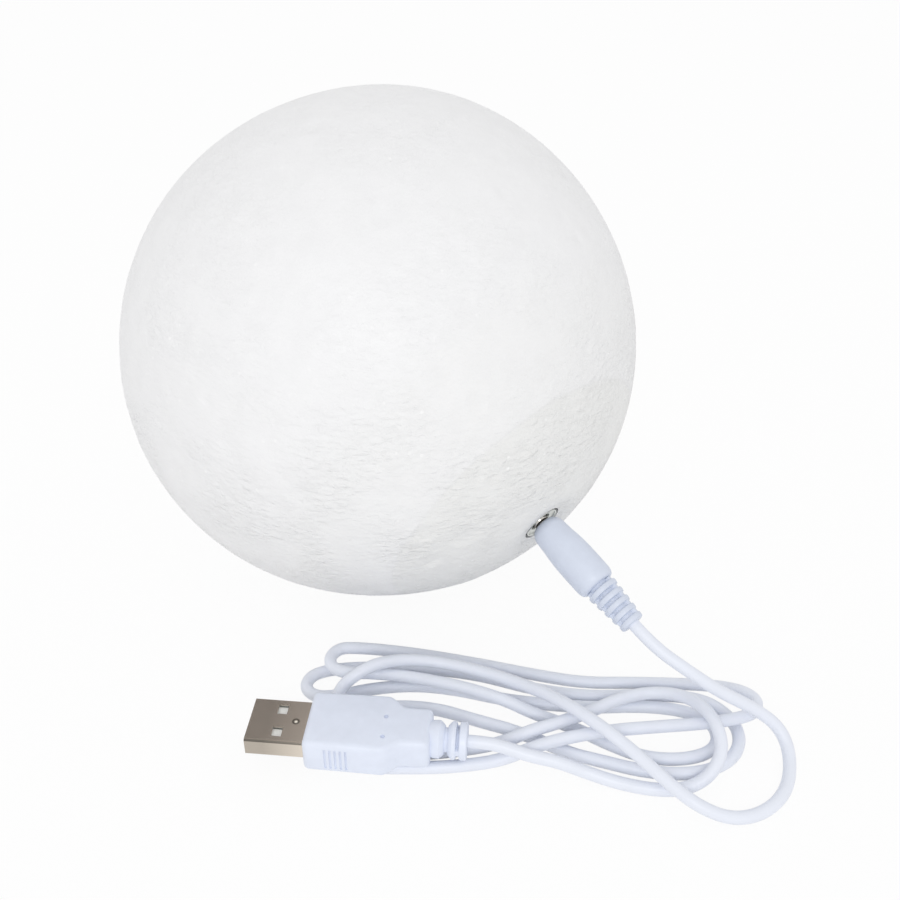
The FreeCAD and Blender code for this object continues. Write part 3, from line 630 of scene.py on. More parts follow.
def painted_bead_glints(tree, centred, strength):
    """Painted highlights: sparse bright specks half a millimetre wide, mixed towards white in the
    colour where a bead of the plastic would shine.
    """
    beads = add_node(tree, "ShaderNodeTexVoronoi", {"Vector": centred, "Scale": 420.0})
    bead_spot = add_node(
        tree, "ShaderNodeMapRange",
        {"Value": beads.outputs["Distance"], "From Min": 0.10, "From Max": 0.18, "To Min": 1.0,
         "To Max": 0.0},
    ).outputs["Result"]
    bead_choice = add_node(
        tree, "ShaderNodeSeparateXYZ", {"Vector": beads.outputs["Color"]}
    ).outputs["X"]
    some_beads = add_node(
        tree, "ShaderNodeMapRange", {"Value": bead_choice, "From Min": 0.86, "From Max": 0.9}
    ).outputs["Result"]
    painted_glint = add_node(
        tree, "ShaderNodeMath", {0: bead_spot, 1: some_beads}, operation="MULTIPLY"
    ).outputs["Value"]
    return add_node(
        tree, "ShaderNodeMath", {0: painted_glint, 1: strength}, operation="MULTIPLY", use_clamp=True
    ).outputs["Value"]


def drifting(name, light, dark, grain, roughness, relief, metallic=0.0, ior=None):
    """A finish whose tone and gloss drift over a grain of the given size, in millimetres. The
    relief is that grain's depth, also in millimetres."""
    material, tree, surface = new_finish(name)
    place = add_node(tree, "ShaderNodeTexCoord").outputs["Object"]
    cloud = add_node(
        tree, "ShaderNodeTexNoise",
        {"Vector": place, "Scale": 1 / (grain * MM), "Detail": 5.0, "Roughness": 0.6},
    ).outputs["Fac"]
    spread = add_node(
        tree, "ShaderNodeMapRange", {"Value": cloud, "From Min": 0.3, "From Max": 0.7}
    ).outputs["Result"]
    tone = add_node(
        tree, "ShaderNodeMix", {0: spread, 6: (*dark, 1), 7: (*light, 1)}, data_type="RGBA"
    ).outputs[2]
    tree.links.new(tone, surface.inputs["Base Color"])
    gloss = add_node(
        tree, "ShaderNodeMapRange",
        {"Value": spread, "To Min": roughness * 1.15, "To Max": roughness * 0.88},
    ).outputs["Result"]
    tree.links.new(gloss, surface.inputs["Roughness"])
    bump = add_node(
        tree, "ShaderNodeBump", {"Height": cloud, "Strength": 1.0, "Distance": relief * MM}
    ).outputs["Normal"]
    tree.links.new(bump, surface.inputs["Normal"])
    surface.inputs["Metallic"].default_value = metallic
    if ior:
        surface.inputs["IOR"].default_value = ior
    return material


def shaded(colour, factor):
    """A linear colour made lighter or darker."""
    return tuple(min(1.0, value * factor) for value in colour)


# ---- the pieces ----

def sphere_points(radius, start, end, count):
    """Points (radius, height) along a circle, angles in degrees from the axis."""
    points = []
    for number in range(count + 1):
        turn = math.radians(start + (end - start) * number / count)
        points.append((radius * math.sin(turn), radius * math.cos(turn)))
    return points


def moon_relief(piece, globe):
    """Moves the globe's outer points: slow lumps, then craters with low rims. The relief fades
    out round the jack, and no point goes below the floor."""
    count = len(piece.data.vertices)
    points = np.empty(count * 3)
    piece.data.vertices.foreach_get("co", points)
    points = points.reshape(-1, 3)
    offset = points - np.array(GLOBE_CENTRE)
    distance = np.linalg.norm(offset, axis=1)
    outward = offset / distance[:, None]
    skin = distance > (GLOBE_R - SKIN_DEPTH) * MM
    height = np.zeros(count)
    for azimuth, elevation, width, swell in SWELLS:
        a, e = math.radians(azimuth), math.radians(elevation)
        towards = np.array((math.cos(e) * math.cos(a), math.cos(e) * math.sin(a), math.sin(e)))
        angle = np.degrees(np.arccos(np.clip(outward @ towards, -1, 1)))
        height += globe.lumps * swell * np.exp(-((angle / width) ** 2) * 2)
    # Craters are 1.1 to 3.9 mm in radius, most of them small, and more of them lie low down.
    rng = random.Random(7)
    for _ in range(globe.craters):
        z = rng.uniform(-1, 1) if rng.random() < 0.55 else rng.uniform(-1, 0.1)
        a = rng.uniform(0, 2 * math.pi)
        flat = math.sqrt(1 - z * z)
        towards = np.array((flat * math.cos(a), flat * math.sin(a), z))
        radius = LEAST_CRATER_R * (1 - rng.random() * 0.9) ** -0.55
        depth = globe.relief * (0.5 + rng.random()) * min(2.0, radius ** 0.5)
        near = np.nonzero(outward @ towards > math.cos(radius * 1.8 / GLOBE_R))[0]
        share = np.arccos(np.clip(outward[near] @ towards, -1, 1)) * GLOBE_R / radius
        bowl = np.where(share < 1, -depth * (1 - share ** 2), 0)
        rim = 0.3 * depth * np.exp(-(((share - 1.05) / 0.28) ** 2))
        height[near] += bowl + rim
    across = np.arccos(np.clip(outward @ np.array(JACK_AXIS), -1, 1)) * GLOBE_R
    height *= np.clip((across - RELIEF_STARTS) / RELIEF_GROWS, 0, 1)
    points[skin] += outward[skin] * height[skin][:, None]
    points[:, 2] = np.maximum(points[:, 2], 0)
    piece.data.vertices.foreach_set("co", points.ravel())
    piece.data.update()


class MOONLAMP_OT_globe(Operator):
    """Builds the printed globe and its cap, with craters, and the dish round the jack"""

    bl_idname = "moon_lamp.globe"
    bl_label = "Globe and cap"

    def execute(self, context):
        globe = context.scene.moon_globe
        finish = printed_moon(globe)
        outside = sphere_points(GLOBE_R, SEAM_ANGLE, 180, 203)
        inside = sphere_points(INNER_R, 180, SEAM_ANGLE, 29)
        shell = lathe("moon_globe", outside + inside + outside[:1], GLOBE_STEPS)
        lap = sphere_points(LAP_R, LAP_END, SEAM_ANGLE, 2)
        under = sphere_points(LAP_INNER_R, LAP_START, LAP_END, 4)
        rim = sphere_points(GLOBE_R, SEAM_ANGLE, DISH_ANGLE, 40)
        boss = [(HOLE_R, HOLE_RIM), (HOLE_R, BOSS_BACK), (BOSS_R, BOSS_BACK), (BOSS_R, BOSS_FOOT)]
        inner = sphere_points(INNER_R, BOSS_ANGLE, LEDGE_ANGLE, 8)
        ledge = [(LEDGE_R, SEAT), (MODULE_R, SEAT)]
        outline = rim + DISH + boss + inner + ledge + under + lap + rim[:1]
        cap = lathe("moon_cap", outline, GLOBE_STEPS)
        for piece, node in ((shell, "moon_shell"), (cap, "base_cap")):
            placed(piece, ON_JACK)
            moon_relief(piece, globe)
            smoothed(piece, 40)
            dress(piece, finish, "moon_print", "lamp", node)
        return {"FINISHED"}


class MOONLAMP_OT_jack(Operator):
    """Builds the touch ring round the jack and finishes the jack's own parts"""

    bl_idname = "moon_lamp.jack"
    bl_label = "Touch ring and jack"

    def execute(self, context):
        # Stainless steel, turned: pale grey, with a soft gloss that drifts a little.
        steel = drifting(
            "stainless_steel_turned", linear("#D9DBD8"), linear("#C3C6C2"), 1.2, 0.32, 0.01,
            metallic=1.0,
        )
        ring = lathe(
            "touch_ring_plate",
            [
                (RING_BORE_R, RING_BACK), (RING_R - 0.05, RING_BACK), (RING_R, RING_BACK + 0.05),
                (RING_R, RING_LIP - 0.1), (4.15, RING_LIP), (3.95, RING_LIP),
                (3.85, RING_LIP - 0.1), (3.82, RING_FACE + 0.04), (3.75, RING_FACE),
                (2.7, RING_FACE), (2.55, RING_FACE - 0.05), (RING_BORE_R, RING_FACE - 0.15),
                (RING_BORE_R, RING_BACK),
            ],
            96,
        )
        smoothed(placed(ring, ON_JACK), 40)
        dress(ring, steel, "touch_metal", "lamp", "touch_ring")
        # Nylon, moulded: a thin grey line round the ring, and a black jack.
        for node, light, dark in (
            ("ring_insulator", "#616264", "#505153"), ("jack_body", "#2A2A2C", "#1D1D1F"),
        ):
            dress_node(node, drifting(
                "nylon_" + node, linear(light), linear(dark), 0.8, 0.5, 0.01, ior=1.53
            ))
        # Brass contacts under bright tin: small, clean and a little soft in their shine.
        tinned = drifting(
            "brass_tin_plated", linear("#DAD8D2"), linear("#C2BFB6"), 0.6, 0.28, 0.004, metallic=1.0
        )
        for node in ("jack_sleeve_contact", "jack_centre_pin", "dc_centre_contact"):
            dress_node(node, tinned)
        return {"FINISHED"}


class MOONLAMP_OT_jack_plug(Operator):
    """Builds the barrel plug: its moulded grip, its ribbed strain relief and its metal barrel"""

    bl_idname = "moon_lamp.jack_plug"
    bl_label = "Barrel plug"

    def execute(self, context):
        vinyl = moulded_vinyl("pvc_barrel_plug_moulded", context.scene.moon_plugs.barrel_colour)
        outline = [(radius, PLUG_FACE + behind) for radius, behind in PLUG_OUTLINE]
        grip = lathe("barrel_plug_grip", outline, 72)
        smoothed(placed(grip, ON_JACK), 40)
        dress(grip, vinyl, "plug_plastic", "cord_set", "dc_plug_body")
        relief = smoothed(placed(ribbed_relief(), ON_JACK), 35)
        dress(relief, vinyl, "plug_plastic", "cord_set", "dc_strain_relief")
        # Nickel on brass, polished: mirror bright, so it shows dark and light bands.
        nickel = drifting(
            "nickel_polished", linear("#CFCBC6"), linear("#B9B4AE"), 2.0, 0.12, 0.002, metallic=1.0
        )
        barrel = lathe(
            "barrel_plug_sleeve",
            [
                (BARREL_BORE_R, BARREL_TIP + 0.1), (1.45, BARREL_TIP), (1.6, BARREL_TIP),
                (BARREL_R, BARREL_TIP + 0.25), (BARREL_R, BARREL_GROOVE - 0.1),
                (BARREL_R - 0.07, BARREL_GROOVE), (BARREL_R, BARREL_GROOVE + 0.1),
                (BARREL_R, BARREL_END), (BARREL_BORE_R, BARREL_END),
                (BARREL_BORE_R, BARREL_TIP + 0.1),
            ],
            64,
        )
        smoothed(placed(barrel, ON_JACK), 40)
        dress(barrel, nickel, "plug_metal", "cord_set", "dc_barrel")
        # Black PBT, moulded: the dark ring inside the barrel's tip.
        pbt = drifting(
            "pbt_black_moulded", linear("#26262A"), linear("#1A1A1D"), 0.7, 0.45, 0.005, ior=1.55
        )
        dress_node("dc_insulator", pbt)
        return {"FINISHED"}


def ribbed_relief():
    """The barrel plug's strain relief: five rounded rings on a core, tied by a flat bar on each
    of two opposite sides, so that the slots between them are open on the other two."""
    pitch = (CORD_EXIT - PLUG_TAIL) / RELIEF_RIBS
    outline = [(0, PLUG_TAIL - 0.3), (2.5, PLUG_TAIL - 0.3)]
    for number in range(RELIEF_RIBS):
        radius = RELIEF_BIG_R - RELIEF_TAPER * number / (RELIEF_RIBS - 1)
        low = PLUG_TAIL + pitch * number + RELIEF_SLOT
        high = PLUG_TAIL + pitch * (number + 1)
        core = 2.4 - 0.1 * number
        outline += [
            (core, low), (radius - 0.3, low), (radius - 0.08, low + 0.1), (radius, low + 0.3),
            (radius - 0.05, high - 0.4), (radius - 0.15, high - 0.12), (radius - 0.4, high),
        ]
        outline.append((core - 0.05, high))
    outline.append((0, CORD_EXIT))
    rings = lathe("rings", outline, 64)
    pieces = [rings]
    for side in (-1, 1):
        tie = bar("tie", TIE_SIZE, (0, side * 2.4, PLUG_TAIL + 5.4))
        bpy.ops.object.mode_set(mode="EDIT")
        bpy.ops.mesh.select_all(action="DESELECT")
        edit = bmesh.from_edit_mesh(tie.data)
        for vertex in edit.verts:
            vertex.select = vertex.co.z > (PLUG_TAIL + 5) * MM
        edit.select_flush(True)
        bmesh.update_edit_mesh(tie.data)
        bpy.ops.transform.translate(value=(0, -side * 0.7 * MM, 0))
        bpy.ops.transform.resize(value=(0.72, 1, 1))
        bpy.ops.object.mode_set(mode="OBJECT")
        pieces.append(bevelled(tie, 0.3, 3))
    return joined("barrel_plug_relief", pieces)


def moulded_vinyl(name, colour):
    """Soft PVC, injection moulded: cool white with a satin skin and a faint unevenness."""
    return drifting(name, shaded(colour, 1.02), shaded(colour, 0.965), 4.0, 0.42, 0.03, ior=1.53)


class MOONLAMP_OT_usb_plug(Operator):
    """Builds the USB plug's grip, strain relief, tongue and contacts, and finishes its shell"""

    bl_idname = "moon_lamp.usb_plug"
    bl_label = "USB plug"

    def execute(self, context):
        plugs = context.scene.moon_plugs
        vinyl = moulded_vinyl("pvc_usb_plug_moulded", plugs.usb_colour)
        grip = usb_grip(plugs)
        dress(grip, vinyl, "plug_plastic", "cord_set", "usb_overmould")
        relief = smoothed(placed(usb_relief(), ON_USB), 35)
        dress(relief, vinyl, "plug_plastic", "cord_set", "usb_strain_relief")
        dress_node("usb_shell", plated_sheet())
        # White PBT: the tongue inside the shell, seen through its windows.
        tongue = drifting(
            "pbt_white_moulded", linear("#F1F1EE"), linear("#E6E6E2"), 1.5, 0.4, 0.01, ior=1.55
        )
        dress(usb_tongue(), tongue, "usb_tongue_white", "cord_set", "usb_tongue")
        # Gold flash over nickel: four clean yellow strips.
        gold = drifting(
            "gold_flashed", linear("#E3C57A"), linear("#D3B163"), 0.8, 0.22, 0.002, metallic=1.0
        )
        strips = [
            bar("strip", STRIP_SIZE, (STRIP_X, USB_Y + place, STRIP_Z)) for place in STRIP_PLACES
        ]
        contacts = joined("usb_plug_contacts", strips)
        dress(contacts, gold, "gold_contact", "cord_set", "usb_contacts")
        return {"FINISHED"}


def usb_tongue():
    """The white tongue, close under the sleeve's upper sheet, so that it shows in the windows. Each
    window has a shallow pocket under it, with a deep slot at its far side."""
    length = GRIP_NOSE - TONGUE_FRONT
    slab = bar(
        "slab", (length, TONGUE_W, TONGUE_T),
        (TONGUE_FRONT + length / 2, USB_Y, TONGUE_TOP - TONGUE_T / 2),
    )
    back = bar(
        "back", (TONGUE_BACK, TONGUE_W, TONGUE_TOP - TONGUE_FOOT),
        (GRIP_NOSE - TONGUE_BACK / 2, USB_Y, (TONGUE_TOP + TONGUE_FOOT) / 2),
    )
    tongue = joined("usb_plug_tongue", [slab, back])
    for side in (-1, 1):
        window_y = USB_Y + side * WINDOW_Y
        cut_with(tongue, bar("pocket", POCKET_SIZE, (WINDOW_X, window_y + POCKET_SHIFT, TONGUE_TOP)))
        cut_with(tongue, bar("slot", SLOT_SIZE, (WINDOW_X, window_y + SLOT_SHIFT, TONGUE_TOP)))
    return tongue


def plated_sheet():
    """Steel sheet, nickel plated and rolled: a warm grey half-mirror. Painted shade makes its flat
    top darker and it a little darker at its open end, and dark along one bend and round its pressed
    dimple, with a painted glint in the dimple's middle."""
    material, tree, surface = new_finish("steel_nickel_plated")
    place = add_node(tree, "ShaderNodeTexCoord").outputs["Object"]
    # Rolling marks run along the plug: 0.6 mm wide, six times as long and very faint.
    run = add_node(
        tree, "ShaderNodeMapping", {"Vector": place, "Scale": (0.16, 1, 1)}
    ).outputs["Vector"]
    marks = add_node(
        tree, "ShaderNodeTexNoise", {"Vector": run, "Scale": 1600.0, "Detail": 2.0}
    ).outputs["Fac"]
    along = add_node(tree, "ShaderNodeSeparateXYZ", {"Vector": place})
    colour = add_node(
        tree, "ShaderNodeMix",
        {0: 1.0, 6: sheet_colour_with_top_shade(tree, along), 7: painted_sheet_shade(tree, place, along)},
        data_type="RGBA", blend_type="MULTIPLY",
    ).outputs[2]
    gloss = add_node(
        tree, "ShaderNodeMapRange", {"Value": marks, "To Min": 0.16, "To Max": 0.26}
    ).outputs["Result"]
    bump = add_node(
        tree, "ShaderNodeBump", {"Height": marks, "Strength": 1.0, "Distance": 0.001 * MM}
    ).outputs["Normal"]
    tree.links.new(colour, surface.inputs["Base Color"])
    tree.links.new(gloss, surface.inputs["Roughness"])
    tree.links.new(bump, surface.inputs["Normal"])
    surface.inputs["Metallic"].default_value = 1.0
    return material


def sheet_colour_with_top_shade(tree, along):
    """Warm light grey on the sheet's sides, and darker on its flat top, where the darker colour is
    painted shade standing in for the dim reflection there.
    """
    painted_top_shade = add_node(
        tree, "ShaderNodeMapRange",
        {"Value": along.outputs["Z"], "From Min": (SLEEVE_TOP - 0.13) * MM,
         "From Max": (SLEEVE_TOP - 0.01) * MM},
        interpolation_type="SMOOTHSTEP",
    ).outputs["Result"]
    return add_node(
        tree, "ShaderNodeMix",
        {0: painted_top_shade, 6: (*linear("#C3BAAE"), 1), 7: (*linear("#988E84"), 1)}, data_type="RGBA",
    ).outputs[2]


def painted_sheet_shade(tree, place, along):
    """Painted light and shade as a factor on the sheet's colour: low at its mouth, on its near upper
    bend and in a ring round its dimple, and high in the dimple's middle as a painted glint."""
    # Painted light along the sheet: darker at its open end and lighter towards the grip.
    from_mouth = add_node(
        tree, "ShaderNodeMapRange",
        {"Value": along.outputs["X"], "From Min": (SLEEVE_MOUTH + 4.0) * MM,
         "From Max": GRIP_NOSE * MM, "To Min": 0.88, "To Max": 1.35},
    ).outputs["Result"]
    dimple = (DIMPLE_X * MM, USB_Y * MM, SLEEVE_TOP * MM)
    from_dimple = add_node(
        tree, "ShaderNodeVectorMath", {0: place, 1: dimple}, operation="DISTANCE"
    ).outputs["Value"]
    bend = painted_bend_shade(tree, along)
    ring = painted_dimple_shade(tree, from_dimple)
    dark = add_node(tree, "ShaderNodeMath", {0: bend, 1: ring}, operation="MAXIMUM").outputs["Value"]
    light = add_node(tree, "ShaderNodeMath", {0: 1.0, 1: dark}, operation="SUBTRACT").outputs["Value"]
    # A painted glint in the dimple's middle.
    glint = add_node(
        tree, "ShaderNodeMapRange",
        {"Value": from_dimple, "From Min": 0.2 * MM, "From Max": 0.35 * MM, "To Min": 1.7,
         "To Max": 1.0},
    ).outputs["Result"]
    lit = add_node(
        tree, "ShaderNodeMath", {0: light, 1: glint}, operation="MULTIPLY"
    ).outputs["Value"]
    return add_node(
        tree, "ShaderNodeMath", {0: lit, 1: from_mouth}, operation="MULTIPLY"
    ).outputs["Value"]


def painted_bend_shade(tree, along):
    """Painted shade: how dark the sheet is along its upper bend on the side away from the globe."""
    above_side = add_node(
        tree, "ShaderNodeMapRange",
        {"Value": along.outputs["Z"], "From Min": (SLEEVE_TOP - 0.53) * MM,
         "From Max": (SLEEVE_TOP - 0.4) * MM},
    ).outputs["Result"]
    below_top = add_node(
        tree, "ShaderNodeMapRange",
        {"Value": along.outputs["Z"], "From Min": (SLEEVE_TOP - 0.11) * MM,
         "From Max": (SLEEVE_TOP - 0.01) * MM, "To Min": 0.7, "To Max": 0.0},
    ).outputs["Result"]
    near_side = add_node(
        tree, "ShaderNodeMapRange",
        {"Value": along.outputs["Y"], "From Min": (USB_Y - SLEEVE_HALF_W + 0.5) * MM,
         "From Max": (USB_Y - SLEEVE_HALF_W + 0.8) * MM, "To Min": 1.0, "To Max": 0.0},
    ).outputs["Result"]
    at_edge = add_node(
        tree, "ShaderNodeMath", {0: above_side, 1: below_top}, operation="MULTIPLY"
    ).outputs["Value"]
    return add_node(
        tree, "ShaderNodeMath", {0: at_edge, 1: near_side}, operation="MULTIPLY"
    ).outputs["Value"]


def painted_dimple_shade(tree, from_dimple):
    """Painted shade: how dark the sheet is in a ring round its dimple."""
    inside = add_node(
        tree, "ShaderNodeMapRange", {"Value": from_dimple, "From Min": 0.3 * MM, "From Max": 0.5 * MM}
    ).outputs["Result"]
    outside = add_node(
        tree, "ShaderNodeMapRange",
        {"Value": from_dimple, "From Min": 0.65 * MM, "From Max": 0.95 * MM, "To Min": 0.75,
         "To Max": 0.0},
    ).outputs["Result"]
    return add_node(
        tree, "ShaderNodeMath", {0: inside, 1: outside}, operation="MULTIPLY"
    ).outputs["Value"]


def usb_grip(plugs):
    """The moulded grip: a front that widens a little, sloping shoulders and a narrower back, with
    five grooves in each side and two small pin marks on top."""
    grip = bar(
        "usb_plug_grip", (GRIP_FRONT, GRIP_W, GRIP_H), (GRIP_NOSE + GRIP_FRONT / 2, USB_Y, USB_Z)
    )
    bpy.ops.object.mode_set(mode="EDIT")
    bpy.ops.mesh.select_mode(type="FACE")
    bpy.ops.mesh.select_all(action="DESELECT")
    edit = bmesh.from_edit_mesh(grip.data)
    for face in edit.faces:
        face.select = face.normal.x > 0.9
    bmesh.update_edit_mesh(grip.data)
    bpy.ops.transform.resize(value=(1, GRIP_FLARE_W / GRIP_W, 1))
    bpy.ops.mesh.extrude_region_move(TRANSFORM_OT_translate={"value": (GRIP_SHOULDER * MM, 0, 0)})
    bpy.ops.transform.resize(value=(1, GRIP_REAR_W / GRIP_FLARE_W, GRIP_REAR_H / GRIP_H))
    bpy.ops.mesh.extrude_region_move(TRANSFORM_OT_translate={"value": (GRIP_REAR * MM, 0, 0)})
    bpy.ops.object.mode_set(mode="OBJECT")
    bevelled(grip, plugs.grip_round / MM, 6, 20)
    cutters = []
    for number in range(GROOVES):
        for side in (-1, 1):
            x = GRIP_NOSE + GROOVE_START + GROOVE_STEP * number
            groove = bar("groove", GROOVE_SIZE, (x, USB_Y + side * GROOVE_Y, USB_Z))
            cutters.append(bevelled(groove, 0.12, 2))
    for x, y in PIN_MARKS:
        start_fresh()
        bpy.ops.mesh.primitive_ico_sphere_add(
            subdivisions=3, radius=PIN_MARK_R * MM,
            location=(x * MM, (USB_Y + y) * MM, (USB_Z + PIN_MARK_RISE) * MM),
        )
        bpy.ops.object.transform_apply(location=True, rotation=True, scale=True)
        cutters.append(bpy.context.object)
    cut_with(grip, joined("grip_cutters", cutters))
    return smoothed(grip, 35)


def usb_relief():
    """A thick collar, a ring and a disc round the cord, modelled along +Z. The edges on both
    sides of the first slot slope down to it, and small ties bridge the second slot."""
    foot = GRIP_TAIL
    rings = lathe(
        "rings",
        [
            (0, foot - 0.5), (3.7, foot - 0.5), (3.85, foot + 0.1), (3.95, foot + 0.5),
            (4.0, foot + 1.7), (3.6, foot + 2.2), (3.0, foot + 2.75), (2.6, foot + 2.8),
            (2.6, foot + 3.4), (3.0, foot + 3.45), (3.55, foot + 3.9), (4.0, foot + 4.4),
            (4.0, foot + 4.9), (3.85, foot + 5.2), (3.5, foot + 5.3), (2.6, foot + 5.3),
            (2.5, foot + 5.6), (2.6, foot + 5.9), (3.5, foot + 5.9), (3.85, foot + 6.0),
            (4.0, foot + 6.2), (4.0, foot + 7.3), (3.85, foot + 7.5), (3.4, foot + 7.6),
            (0, foot + 7.6),
        ],
        64,
    )
    pieces = [rings]
    for side in (-1, 1):
        size, centre = (1.5, 2.4, 0.8), (0, side * 2.5, foot + 5.6)
        pieces.append(bevelled(bar("tie", size, centre), 0.12, 2))
    return joined("usb_plug_relief", pieces)


class MOONLAMP_OT_cord(Operator):
    """Lays the charging cord along its route, from the barrel plug to the USB plug"""

    bl_idname = "moon_lamp.cord"
    bl_label = "Charging cord"

    def execute(self, context):
        cords = context.scene.moon_cord
        exit_point = ON_JACK @ Vector((0, 0, CORD_EXIT * MM))
        points = [exit_point, ON_JACK @ Vector((0, 0, (CORD_EXIT + JACK_END_STRAIGHT) * MM))]
        for x, y, layer in CORD_ROUTE:
            points.append(Vector((x, y, CORD_D / 2 + layer * LAYER_RISE)) * MM)
        points.append(Vector((USB_EXIT + USB_END_STRAIGHT, USB_Y, USB_Z)) * MM)
        points.append(Vector((USB_EXIT, USB_Y, USB_Z)) * MM)
        line = bpy.data.curves.new("charging_cord", "CURVE")
        line.dimensions = "3D"
        spline = line.splines.new("NURBS")
        spline.points.add(len(points) - 1)
        for point, place in zip(spline.points, points):
            point.co = (*place, 1)
        spline.order_u = 3
        spline.use_endpoint_u = True
        spline.resolution_u = 8
        line.bevel_depth = cords.thickness / 2
        line.bevel_resolution = 5
        line.use_fill_caps = True
        cord = bpy.data.objects.new("charging_cord", line)
        context.scene.collection.objects.link(cord)
        # Soft PVC, extruded: a cool white jacket with a slight sheen, a little wavy along it.
        jacket = drifting(
            "pvc_soft_extruded", shaded(cords.jacket_colour, 1.01),
            shaded(cords.jacket_colour, 0.975), 6.0, 0.4, 0.03, ior=1.53,
        )
        dress(cord, jacket, "cord_jacket", "cord_set", "cord_lead", "cord_hank")
        return {"FINISHED"}


class MOONLAMP_OT_light_module(Operator):
    """Finishes the light module behind the cap: its housing, boards, cell, wires and lights"""

    bl_idname = "moon_lamp.light_module"
    bl_label = "Light module"

    def execute(self, context):
        # ABS, moulded: plain white with a faint flow of tone.
        abs_white = drifting(
            "abs_white_moulded", linear("#F0F0EC"), linear("#E4E4DF"), 5.0, 0.38, 0.02, ior=1.54
        )
        # Steel screws, zinc plated: small and bright, slightly blue.
        zinc = drifting(
            "steel_zinc_plated", linear("#C9CCD0"), linear("#AEB2B7"), 0.5, 0.3, 0.01, metallic=1.0
        )
        # Glass-epoxy board under green lacquer, with a faint grain of 0.5 mm.
        board = drifting(
            "fr4_green_lacquered", linear("#1F6B3A"), linear("#17522D"), 0.5, 0.35, 0.01, ior=1.5
        )
        # Aluminium-backed board under white lacquer, so that it throws the light back.
        light_board = drifting(
            "board_white_lacquered", linear("#F3F3F0"), linear("#E9E9E5"), 0.6, 0.32, 0.005, ior=1.5
        )
        # Epoxy chips: matt black with a fine grain.
        epoxy = drifting(
            "epoxy_black_moulded", linear("#232325"), linear("#161618"), 0.2, 0.55, 0.01, ior=1.55
        )
        # Ferrite: dark grey, dull and finely pitted.
        ferrite = drifting(
            "ferrite_sintered", linear("#3B3A3A"), linear("#2A2929"), 0.3, 0.5, 0.02, ior=1.6
        )
        # Ceramic capacitors: tan bodies, dry and fine.
        ceramic = drifting(
            "ceramic_tan_fired", linear("#B08C62"), linear("#97754E"), 0.3, 0.45, 0.01, ior=1.6
        )
        # Foam tape: white, soft and open-celled.
        foam = drifting(
            "foam_tape_white", linear("#E9E7E0"), linear("#D5D2C9"), 0.4, 0.85, 0.06, ior=1.45
        )
        # Cell pouch: aluminium laminate, silver with soft creases.
        pouch = drifting(
            "laminate_silver", linear("#C9CACC"), linear("#B0B2B5"), 4.0, 0.36, 0.08, metallic=0.8
        )
        # Phosphor lights: a matt yellow resin.
        phosphor = drifting(
            "phosphor_silicone", linear("#F0D25A"), linear("#E2BF45"), 0.3, 0.5, 0.01, ior=1.42
        )
        finishes = {
            "housing_cup": abs_white, "housing_lid": abs_white, "board_screws": zinc,
            "lid_screws": zinc, "main_pcb": board, "led_board": light_board,
            "control_chips": epoxy, "inductor": ferrite, "capacitors": ceramic,
            "battery_tape": foam, "battery_cell": pouch, "led_chips": phosphor,
        }
        for node, finish in finishes.items():
            dress_node(node, finish)
        wires = {
            "battery_wire_red": ("#B3261E", "#97201A"), "led_wire_red": ("#B3261E", "#97201A"),
            "battery_wire_black": ("#242426", "#18181A"), "led_wire_black": ("#242426", "#18181A"),
            "touch_wire": ("#ECECE8", "#DDDDD8"),
        }
        # Silicone wire: saturated, satin, with slight ripples along it.
        for node, (light, dark) in wires.items():
            dress_node(node, drifting(
                "silicone_" + node, linear(light), linear(dark), 1.0, 0.45, 0.02, ior=1.42
            ))
        return {"FINISHED"}


class MOONLAMP_OT_stage(Operator):
    """Makes the pale floor, the soft light all round, the key lamp and the camera"""

    bl_idname = "moon_lamp.stage"
    bl_label = "Stage"

    def execute(self, context):
        stage = context.scene.moon_stage
        start_fresh()
        bpy.ops.mesh.primitive_plane_add(size=8)
        floor = named("studio_floor")
        floor.data.materials.append(pale_floor())
        self.light_world(context.scene, stage)
        self.add_key(context.scene, stage)
        self.add_camera(context.scene, stage)
        context.scene.view_settings.view_transform = "Standard"
        return {"FINISHED"}

    def light_world(self, scene, stage):
        world = bpy.data.worlds.new("studio")
        scene.world = world
        world.use_nodes = True
        tree = world.node_tree
        tree.nodes.clear()
        seen = seen_directly(tree)
        strength = add_node(
            tree, "ShaderNodeMapRange", {"Value": seen, "To Min": stage.sky, "To Max": 1.0}
        ).outputs["Result"]
        background = add_node(
            tree, "ShaderNodeBackground", {"Color": (1, 1, 1, 1), "Strength": strength}
        )
        add_node(tree, "ShaderNodeOutputWorld", {"Surface": background.outputs["Background"]})

    def add_key(self, scene, stage):
        lamp = bpy.data.lights.new("key", "AREA")
        lamp.shape = "DISK"
        lamp.size = KEY_SIZE
        lamp.energy = stage.key
        key = bpy.data.objects.new("key", lamp)
        scene.collection.objects.link(key)
        key.location = KEY_PLACE
        aim = GLOBE_CENTRE - key.location
        key.rotation_euler = aim.to_track_quat("-Z", "Y").to_euler()

    def add_camera(self, scene, stage):
        lens = bpy.data.cameras.new("camera")
        lens.lens = stage.focal_length
        lens.sensor_width = 36.0
        lens.clip_start = 0.01
        lens.clip_end = 30.0
        camera = bpy.data.objects.new("camera", lens)
        scene.collection.objects.link(camera)
        scene.camera = camera
        camera.location = Vector(CAMERA_PLACE) * MM
        forward = Vector((
            -math.sin(stage.azimuth) * math.cos(stage.elevation),
            math.cos(stage.azimuth) * math.cos(stage.elevation),
            -math.sin(stage.elevation),
        ))
        camera.rotation_euler = forward.to_track_quat("-Z", "Y").to_euler()


